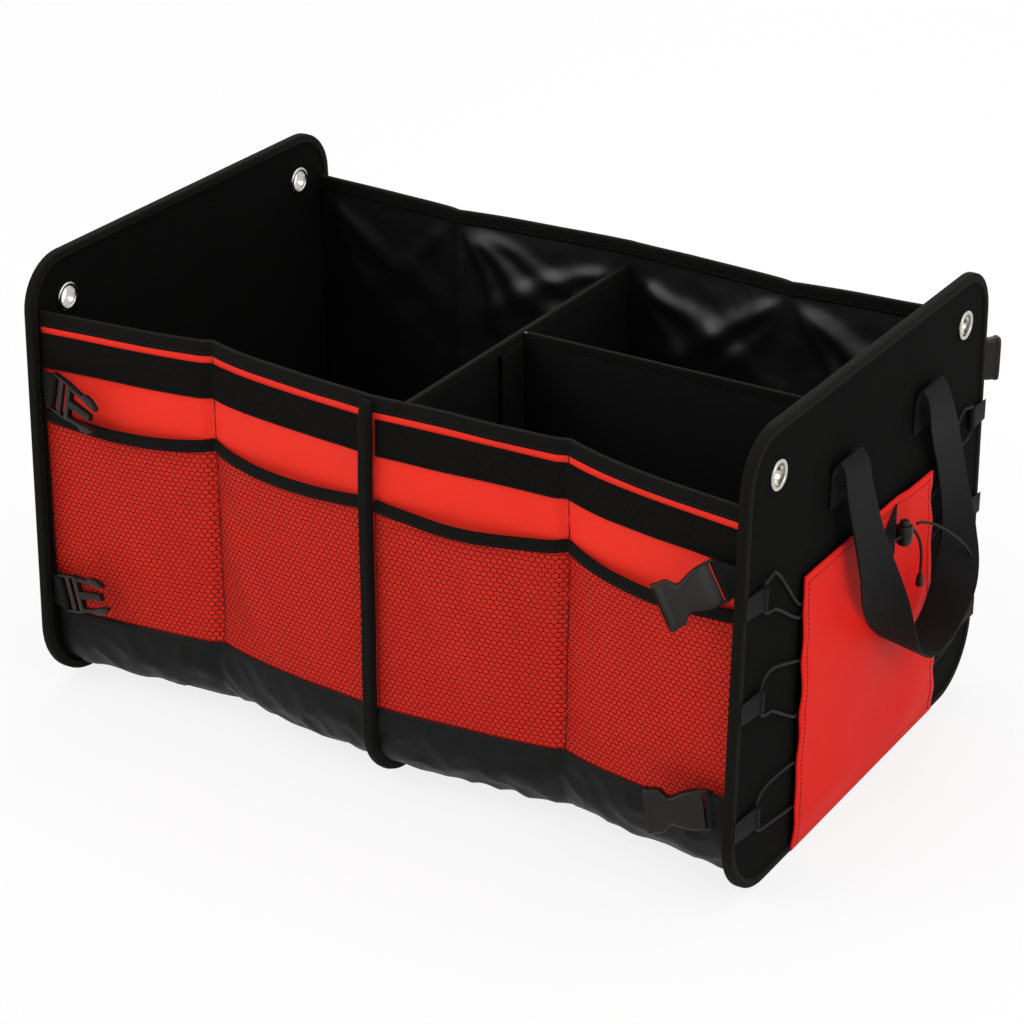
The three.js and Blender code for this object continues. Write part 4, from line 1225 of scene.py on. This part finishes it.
SHEET_X = WIDTH / 2 + 0.0029
SHEET_Y = (-0.104, 0.122, 0.087)  # front, rear at the foot, rear at the top
SHEET_Z = (0.0025, 0.212)
PULLS = (0.187, 0.149, 0.109, 0.071, 0.038)  # heights at which the lace holds the sheet's edges
LOCK = Vector((0.3015, 0.028, 0.190))
CORD = 0.0011  # radius


def sheet_point(u, v, proud=0.0):
    """A point of the laced sheet's middle layer, u towards the rear and v up."""
    z = lerp(*SHEET_Z, v)
    front = SHEET_Y[0]
    rear = lerp(SHEET_Y[1], SHEET_Y[2], v)
    y = lerp(front, rear, u)
    x = lerp(WIDTH / 2 + 0.0021, SHEET_X + 0.0006, ease(z / 0.04))
    # it lies flat under the patch and the lock, and at the foot
    away = max(abs(y - 0.0125) - 0.0205, abs(z - 0.186) - 0.022, 0.0)
    loose = ease(away / 0.02) * ease(v / 0.12)
    swell = 0.0036 * (0.45 + 0.9 * ripple(y, z, 2.2, 0.085)) + 0.0003 * ripple(y, z, 6.1, 0.03)
    edge = min(u * (rear - front), (1 - u) * (rear - front))
    held = max(math.exp(-((z - h) / 0.012) ** 2) for h in PULLS)
    pulled = 1 - 0.75 * math.exp(-edge / 0.012) * held
    return Vector((x + max(swell, 0.0) * loose * pulled + proud, y, z))


def flat_uv(bm, across, along):
    """A UV map in metres from two directions, for a flat piece."""
    layer = bm.loops.layers.uv.new("UVMap")
    for face in bm.faces:
        for loop in face.loops:
            loop[layer].uv = (loop.vert.co.dot(along), loop.vert.co.dot(across))
    return bm


def webbing_copy(name, along=REARWARDS):
    """A short piece of webbing in the shape of its solid, with its ribs running up."""
    return flat_uv(copy_of(name, 0.0003), UP, along)


def add_laced_sheet():
    vinyl = piece(
        "vinyl_sheet", grid(76, 72, (0.21, 0.21), sheet_point), "calendered_vinyl",
        ["laced_sheet"])
    thicken(vinyl, CLOTH)
    rows = []
    du, dv = 0.006 / 0.205, 0.006 / 0.2095  # the seam lies 6 mm from the edge
    corners = ((du, 0.02), (du, 1 - dv), (1 - du, 1 - dv), (1 - du, 0.02))
    for a, b in zip(corners, corners[1:]):
        line = [
            sheet_point(lerp(a[0], b[0], t), lerp(a[1], b[1], t), 0.0006) for t in spaced(0, 1, 50)]
        rows.append(stitches(line, RIGHT, 0.0036, 0.0028, 0.0008))
    piece("patch_cloth", webbing_copy("cord_patch"), "ribbed_webbing", ["cord_patch"])
    x = SHEET_X + 0.0028
    low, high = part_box("cord_patch")
    a, b, c, d = low[1] + 0.003, high[1] - 0.003, low[2] + 0.003, high[2] - 0.002
    cut = 0.006  # across the lower corners
    box = [(a, d), (a, c + cut), (a + cut, c), (b - cut, c), (b, c + cut), (b, d), (a, d)]
    points = [Vector((x, y, z)) for y, z in box]
    patch = stitches(points, RIGHT, 0.0032, 0.0023, 0.0008)
    piece("patch_stitches", patch, "sewing_thread")
    # stitches whose dark red is partly painted shade of their groove
    piece("sheet_stitches", join(*rows), "red_thread_painted_groove_shade")


def sheet_rear(z):
    """The y of the sheet's slanting rear edge, in millimetres."""
    return lerp(122, 87, (z - 2.5) / 209.5)


def lacing(side, z, high, low):
    """The cord's way from the sheet's edge round one loop and back, from the top down, in mm."""
    edge = -104 if side < 0 else sheet_rear((high + low) / 2)
    turn = side * 160

    def y(beyond):
        return edge + side * beyond

    rise = 17 if high > z else 12.5  # the arc over the top loop is flatter
    return [
        (289.2, y(-8), high - 1), (289.2, y(3), high + 1),
        (290.5, turn - side * 14, z + rise), (290.5, turn - side * 4, z + rise - 2.5),
        (290.5, turn - side * 0.5, z + 10), (290.5, turn, z + 8),
        (290.5, turn, z - 8), (290.5, turn - side * 0.8, z - 10.2), (290.5, turn - side * 5, z - 13),
        (290.5, turn - side * 16, z - 15), (289.2, y(3), low + 1), (289.2, y(-8), low),
    ]


def cord_route():
    """The elastic's way: its hanging tail, through the lock, down the front, up the rear, and away."""
    tail = [
        (302.5, 57, 141), (302.6, 57, 148), (303.4, 55.5, 160), (303.2, 51.5, 174),
        (302.2, 45, 184)]
    locked = [
        (301.5, 38, 189.5), (301.5, 33, 190), (301.5, 23, 190), (301.1, 17.5, 190), (298.5, 12.8, 190),
        (294.5, 11, 190), (291.4, 11, 190), (289.4, 10.6, 190), (289.2, 8, 190), (289.2, 3, 190),
        (289.2, -40, 191)]
    strand = [
        (290.9, 160, 71), (295, 158.5, 79), (299, 156, 86), (306, 148, 101), (312, 130, 125),
        (314, 110, 147), (312, 88, 166), (308, 66, 182), (305.5, 48, 191), (305, 41, 193)]
    heights = ((222, 192, 182), (147, 150, 108), (60, 72, 37))
    front = [p for z, high, low in heights for p in lacing(-1, z, high, low)]
    rear = [p for z, high, low in heights[:2] for p in lacing(1, z, high, low)]
    last = lacing(1, *heights[2])[5:]
    between = [(289.2, -60, 50), (289.2, 0, 120), (289.2, 60, 178)]
    return mm([*tail, *locked, *front, *between, *rear, *last[::-1], *strand])


def add_lacing():
    route = cord_route()
    path = through(route, 6 * (len(route) - 1))
    cord = sweep(path, cord_frames(path), (CORD, CORD), 10, power=1.0)
    piece("elastic_lace", cord, "braided_elastic", ["lace_cord"])
    for place in ("front", "rear"):
        for i in (1, 2, 3):
            name = f"lace_loop_{place}_{i}"
            piece(f"webbing_{name}", webbing_copy(name), "ribbed_webbing", [name])
    bell = turned(
        [(0.0, -0.0040), (0.0020, -0.0040), (0.0028, -0.0034), (0.0029, -0.0024), (0.0027, 0.0),
         (0.0022, 0.0038), (0.0018, 0.0050), (0.0012, 0.0050), (0.0012, -0.0010), (0.0, -0.0010)], 28)
    bmesh.ops.translate(bell, verts=bell.verts, vec=(0.3025, 0.057, 0.141))
    piece("cord_end_bell", bell, "moulded_acetal", ["cord_end"])


def add_cord_lock():
    """A ribbed barrel with a sprung plunger in it."""
    outline = [
        (0.0, -0.0090), (0.0028, -0.0088), (0.0046, -0.0078), (0.0056, -0.0060), (0.0060, -0.0035),
        (0.0060, 0.0034), (0.0058, 0.0040), (0.0060, 0.0046), (0.0058, 0.0056), (0.0052, 0.0060),
        (0.0042, 0.0060), (0.00385, 0.0056), (0.00385, -0.0074), (0.0, -0.0074)]
    barrel = turned(outline, 48)
    bmesh.ops.translate(barrel, verts=barrel.verts, vec=LOCK)
    piece("lock_barrel", barrel, "moulded_acetal", ["cord_lock_barrel"])
    outline = [
        (0.0, -0.0018), (0.0036, -0.0018), (0.0036, 0.0088), (0.0034, 0.0095),
        (0.0028, 0.0099),
        (0.0014, 0.0100), (0.0, 0.0100)]
    plunger = turned(outline, 40)
    bmesh.ops.translate(plunger, verts=plunger.verts, vec=LOCK)
    piece(
        "lock_plunger_button", plunger, "moulded_acetal", ["cord_lock_plunger"],
        body="lock_plunger")
    paint("cord_lock_spring", "spring_wire")


# ---- pieces: buckles


TAB = 0.011
BUCKLES = (  # side, end, level, height, droop and swing in degrees, length of the tab
    (-1, 1, "upper", 0.238, 28, 46, TAB), (-1, 1, "lower", 0.072, 9, 18, TAB),
    (-1, -1, "upper", 0.243, 12, 12, TAB), (-1, -1, "lower", 0.083, -13, 8, TAB),
    (1, 1, "upper", 0.250, 0, 131, 0.023), (1, 1, "lower", 0.078, 17, 22, TAB),
    (1, -1, "upper", 0.238, 18, 12, TAB), (1, -1, "lower", 0.078, -2, 8, TAB),
)
SOCKET_FORM = (  # along, half the width and half the thickness, in millimetres
    (4.3, 13.4, 1.9), (8, 14.6, 3.0), (12, 14.4, 3.9), (18, 13.0, 4.3), (23, 10.9, 4.4),
    (26, 10.1, 4.4), (28.5, 11.0, 4.4), (30.5, 13.6, 4.4), (32.5, 15.6, 4.4), (36, 16.1, 4.4),
    (39.6, 16.3, 4.5),
    (40.6, 16.8, 4.9), (42.2, 16.8, 4.9), (43, 16.5, 4.7),
)
BAR_FORM = (  # the bar and the two arms that join it to the shell
    (8, 0, 13.9), (3, 0, 13.9), (0.8, 0, 13.5), (0, 0, 12.4), (0, 0, 6),
    (0, 0, -6), (0, 0, -12.4), (0.8, 0, -13.5), (3, 0, -13.9), (8, 0, -13.9),
)


def buckle_place(side, end, height, droop, swing, tab):
    """Where a buckle sits, for a shape with its bar at the origin, its length along X and its width
    along Z."""
    outward = panel_half(height) - 0.007 + 0.0013
    bar = Vector((end * (WIDTH / 2 - PANEL_BOARD - 2 * GAP - TAPE - tab), side * outward, height))
    facing = Matrix.Rotation(math.pi if end > 0 else 0, 4, "Z")
    down = Matrix.Rotation(math.radians(droop), 4, "Y")
    away = Matrix.Rotation(math.radians(-side * end * swing), 4, "Z")
    return Matrix.Translation(bar) @ facing @ down @ away


def socket_shell():
    """A smooth waisted shell with a lip round its open mouth, and the frame that holds the bar."""
    form = through(mm(SOCKET_FORM), 48)
    path = [Vector((p.x, 0, 0)) for p in form]
    bm = sweep(path, UP, lambda u: form[round(u * 48)].yz, 36, power=0.4)
    reach = max(v.co.x for v in bm.verts)
    ends = [f for f in bm.faces if f.calc_center_median().x > reach - 1e-5]
    inner = max(ends, key=lambda f: f.calc_area())
    bmesh.ops.inset_individual(
        bm, faces=[inner], thickness=0.0014, depth=0.0, use_even_offset=True)
    for depth, narrow in ((0.006, 0.86), (0.014, 0.66)):
        inner = bmesh.ops.extrude_discrete_faces(bm, faces=[inner])["faces"][0]
        bmesh.ops.translate(bm, verts=inner.verts, vec=(-depth, 0, 0))
        bmesh.ops.scale(
            bm, verts=inner.verts, vec=(1, 0.94, narrow), space=Matrix.Identity(4))
    bar_line = through(mm(BAR_FORM), 54)
    return join(bm, sweep(bar_line, REARWARDS, (0.0017, 0.0011), 12, power=0.7))


def add_buckles():
    for side, end, level, height, droop, swing, tab in BUCKLES:
        place = f"{'front' if side < 0 else 'rear'}_{level}_{'right' if end > 0 else 'left'}"
        kind = "socket" if end > 0 else "plug"
        if end > 0:
            shell = socket_shell()
            turn = buckle_place(side, end, height, droop, swing, tab)
            bmesh.ops.transform(shell, matrix=turn, verts=shell.verts)
        else:
            shell = copy_of(f"buckle_plug_{place}", 0.0008, segments=3)
        piece(
            f"moulded_{kind}_{place}", shell, "moulded_acetal",
            [f"buckle_{kind}_{place}"], body=f"{place}_{kind}")
        tab_webbing = webbing_copy(f"buckle_tab_{place}", along=RIGHT)
        piece(
            f"webbing_tab_{place}", tab_webbing, "ribbed_webbing",
            [f"buckle_tab_{place}"])


# ---- stage

LAMPS = (  # name, place, size in metres and power in watts
    ("key", (-1.6, -2.2, 2.6), 2.2, 46.0), ("side", (2.8, -0.6, 1.7), 1.8, 26.0),
    ("top", (0.2, 0.6, 3.0), 2.6, 34.0), ("back", (-0.8, 2.6, 1.6), 1.8, 12.0),
)
LAMP_AIM = Vector((0, 0, 0.15))
CAMERA_PLACE = (1.0185, -1.6283, 1.0874)
CAMERA_TURN = (0.5573, 0.4581, -0.0038)  # azimuth, elevation and roll in radians
CAMERA_LENS = 103.0


def background_share(tree):
    """1 where the camera, a mirror or glass looks straight at this, and 0 for its light elsewhere."""
    rays = node(tree, "ShaderNodeLightPath")
    share = rays.outputs["Is Camera Ray"]
    for name in ("Is Glossy Ray", "Is Transmission Ray"):
        both = node(
            tree, "ShaderNodeMath", {0: share, 1: rays.outputs[name]}, operation="MAXIMUM")
        share = both.outputs[0]
    return share


def add_stage():
    scene = bpy.context.scene
    scene.view_settings.view_transform = "Standard"
    bm = bmesh.new()
    bmesh.ops.create_grid(bm, x_segments=2, y_segments=2, size=7.0)
    mesh = bpy.data.meshes.new("floor")
    bm.to_mesh(mesh)
    bm.free()
    floor = bpy.data.objects.new("floor", mesh)
    scene.collection.objects.link(floor)
    made, tree, shader = surface(
        "pale floor", Base_Color=(0.86, 0.86, 0.86, 1), Roughness=0.9, Specular_IOR_Level=0.0)
    white = node(tree, "ShaderNodeEmission", {"Color": (1, 1, 1, 1), "Strength": 1.0})
    # it shows mostly as white, and keeps a trace of the object's shadow
    seen = node(
        tree, "ShaderNodeMath", {0: background_share(tree), 1: 0.82}, operation="MULTIPLY")
    blend = node(
        tree, "ShaderNodeMixShader",
        {0: seen.outputs[0], 1: shader.outputs["BSDF"], 2: white.outputs[0]})
    output = next(item for item in tree.nodes if item.type == "OUTPUT_MATERIAL")
    tree.links.new(blend.outputs[0], output.inputs["Surface"])
    mesh.materials.append(made)

    for name, place, size, power in LAMPS:
        lamp = bpy.data.lights.new(name, "AREA")
        lamp.size = size
        lamp.energy = power
        thing = bpy.data.objects.new(name, lamp)
        thing.location = place
        thing.rotation_euler = (LAMP_AIM - Vector(place)).to_track_quat("-Z", "Y").to_euler()
        scene.collection.objects.link(thing)

    world = bpy.data.worlds.new("studio")
    world.use_nodes = True
    tree = world.node_tree
    tree.nodes.clear()
    strength = node(
        tree, "ShaderNodeMapRange", {"Value": background_share(tree), "To Min": 0.55, "To Max": 1.0})
    light = node(
        tree, "ShaderNodeBackground", {"Color": (1, 1, 1, 1), "Strength": strength.outputs[0]})
    node(tree, "ShaderNodeOutputWorld", {"Surface": light.outputs[0]})
    scene.world = world

    azimuth, elevation, roll = CAMERA_TURN
    level = math.cos(elevation)
    back = Vector((math.sin(azimuth) * level, -math.cos(azimuth) * level, math.sin(elevation)))
    right = Vector((math.cos(azimuth), math.sin(azimuth), 0))
    up = back.cross(right)
    right, up = (
        right * math.cos(roll) + up * math.sin(roll), up * math.cos(roll) - right * math.sin(roll))
    lens = bpy.data.cameras.new("camera")
    lens.lens = CAMERA_LENS
    lens.sensor_width = 36.0
    lens.clip_end = 50.0
    camera = bpy.data.objects.new("camera", lens)
    turn = Matrix((right, up, back)).transposed().to_4x4()
    camera.matrix_world = Matrix.Translation(CAMERA_PLACE) @ turn
    scene.collection.objects.link(camera)
    scene.camera = camera


# ---- operators, panel and main


class ORGANIZER_OT_stage(bpy.types.Operator):
    """Add the floor, the lamps and the camera"""

    bl_idname = "organizer.stage"
    bl_label = "Stage"
    bl_options = {"REGISTER", "UNDO"}

    def execute(self, context):
        add_stage()
        return {"FINISHED"}


class ORGANIZER_OT_walls(bpy.types.Operator):
    """Add the front and rear cloth and their linings"""

    bl_idname = "organizer.walls"
    bl_label = "Walls"
    bl_options = {"REGISTER", "UNDO"}

    def execute(self, context):
        add_walls()
        return {"FINISHED"}


class ORGANIZER_OT_floor_cloth(bpy.types.Operator):
    """Add the black nylon round the floor"""

    bl_idname = "organizer.floor_cloth"
    bl_label = "Floor cloth"
    bl_options = {"REGISTER", "UNDO"}

    def execute(self, context):
        add_base_cloth()
        return {"FINISHED"}


class ORGANIZER_OT_hook_tapes(bpy.types.Operator):
    """Add the hook-and-loop tape across the front"""

    bl_idname = "organizer.hook_tapes"
    bl_label = "Hook tapes"
    bl_options = {"REGISTER", "UNDO"}

    def execute(self, context):
        add_hook_tapes()
        return {"FINISHED"}


class ORGANIZER_OT_nets(bpy.types.Operator):
    """Add the four net pockets and the tape on their mouths"""

    bl_idname = "organizer.nets"
    bl_label = "Net pockets"
    bl_options = {"REGISTER", "UNDO"}

    def execute(self, context):
        add_nets()
        return {"FINISHED"}


class ORGANIZER_OT_rim_tapes(bpy.types.Operator):
    """Add the tape bound over the walls' top edges"""

    bl_idname = "organizer.rim_tapes"
    bl_label = "Rim tapes"
    bl_options = {"REGISTER", "UNDO"}

    def execute(self, context):
        add_rim_tapes()
        return {"FINISHED"}


class ORGANIZER_OT_seam_tape(bpy.types.Operator):
    """Add the bound middle seam and the quarter seams"""

    bl_idname = "organizer.seam_tape"
    bl_label = "Seam tape"
    bl_options = {"REGISTER", "UNDO"}

    def execute(self, context):
        add_seam_tape()
        return {"FINISHED"}


class ORGANIZER_OT_panel_tapes(bpy.types.Operator):
    """Add the tape bound round the end panels"""

    bl_idname = "organizer.panel_tapes"
    bl_label = "Panel tapes"
    bl_options = {"REGISTER", "UNDO"}

    def execute(self, context):
        add_panel_tapes()
        return {"FINISHED"}


class ORGANIZER_OT_end_panels(bpy.types.Operator):
    """Finish the end panels and add their eyelets"""

    bl_idname = "organizer.end_panels"
    bl_label = "End panels"
    bl_options = {"REGISTER", "UNDO"}

    def execute(self, context):
        add_end_panels()
        return {"FINISHED"}


class ORGANIZER_OT_dividers(bpy.types.Operator):
    """Finish the dividers and add their tape and flaps"""

    bl_idname = "organizer.dividers"
    bl_label = "Dividers"
    bl_options = {"REGISTER", "UNDO"}

    def execute(self, context):
        add_dividers()
        return {"FINISHED"}


class ORGANIZER_OT_handles(bpy.types.Operator):
    """Add the two webbing handles"""

    bl_idname = "organizer.handles"
    bl_label = "Handles"
    bl_options = {"REGISTER", "UNDO"}

    def execute(self, context):
        add_handles()
        return {"FINISHED"}


class ORGANIZER_OT_laced_sheet(bpy.types.Operator):
    """Add the red vinyl sheet and its patch"""

    bl_idname = "organizer.laced_sheet"
    bl_label = "Laced sheet"
    bl_options = {"REGISTER", "UNDO"}

    def execute(self, context):
        add_laced_sheet()
        return {"FINISHED"}


class ORGANIZER_OT_lacing(bpy.types.Operator):
    """Add the lacing loops, the elastic cord and its end"""

    bl_idname = "organizer.lacing"
    bl_label = "Lacing"
    bl_options = {"REGISTER", "UNDO"}

    def execute(self, context):
        add_lacing()
        return {"FINISHED"}


class ORGANIZER_OT_cord_lock(bpy.types.Operator):
    """Add the sprung cord lock"""

    bl_idname = "organizer.cord_lock"
    bl_label = "Cord lock"
    bl_options = {"REGISTER", "UNDO"}

    def execute(self, context):
        add_cord_lock()
        return {"FINISHED"}


class ORGANIZER_OT_buckles(bpy.types.Operator):
    """Add the side-release buckles and their tabs"""

    bl_idname = "organizer.buckles"
    bl_label = "Buckles"
    bl_options = {"REGISTER", "UNDO"}

    def execute(self, context):
        add_buckles()
        return {"FINISHED"}


OPERATORS = (
    ORGANIZER_OT_stage,
    ORGANIZER_OT_walls,
    ORGANIZER_OT_floor_cloth,
    ORGANIZER_OT_hook_tapes,
    ORGANIZER_OT_nets,
    ORGANIZER_OT_rim_tapes,
    ORGANIZER_OT_seam_tape,
    ORGANIZER_OT_panel_tapes,
    ORGANIZER_OT_end_panels,
    ORGANIZER_OT_dividers,
    ORGANIZER_OT_handles,
    ORGANIZER_OT_laced_sheet,
    ORGANIZER_OT_lacing,
    ORGANIZER_OT_cord_lock,
    ORGANIZER_OT_buckles,
)


class ORGANIZER_PT_pieces(bpy.types.Panel):
    """Lists the organizer's pieces in the order in which they are made"""

    bl_idname = "ORGANIZER_PT_pieces"
    bl_label = "Trunk organizer"
    bl_space_type = "VIEW_3D"
    bl_region_type = "UI"
    bl_category = "Organizer"

    def draw(self, context):
        column = self.layout.column()
        for group in (context.scene.organizer_sizes, context.scene.organizer_colours):
            for name in group.__annotations__:
                column.prop(group, name)
        for operator in OPERATORS:
            column.operator(operator.bl_idname)


CLASSES = (OrganizerSizes, OrganizerColours, *OPERATORS, ORGANIZER_PT_pieces)


def register():
    for item in CLASSES:
        bpy.utils.register_class(item)
    bpy.types.Scene.organizer_sizes = PointerProperty(type=OrganizerSizes)
    bpy.types.Scene.organizer_colours = PointerProperty(type=OrganizerColours)


def unregister():
    del bpy.types.Scene.organizer_colours
    del bpy.types.Scene.organizer_sizes
    for item in reversed(CLASSES):
        bpy.utils.unregister_class(item)


def main():
    register()
    bpy.ops.organizer.stage()
    bpy.ops.organizer.walls()
    bpy.ops.organizer.floor_cloth()
    bpy.ops.organizer.hook_tapes()
    bpy.ops.organizer.nets()
    bpy.ops.organizer.rim_tapes()
    bpy.ops.organizer.seam_tape()
    bpy.ops.organizer.panel_tapes()
    bpy.ops.organizer.end_panels()
    bpy.ops.organizer.dividers()
    bpy.ops.organizer.handles()
    bpy.ops.organizer.laced_sheet()
    bpy.ops.organizer.lacing()
    bpy.ops.organizer.cord_lock()
    bpy.ops.organizer.buckles()


if __name__ == "__main__":
    main()
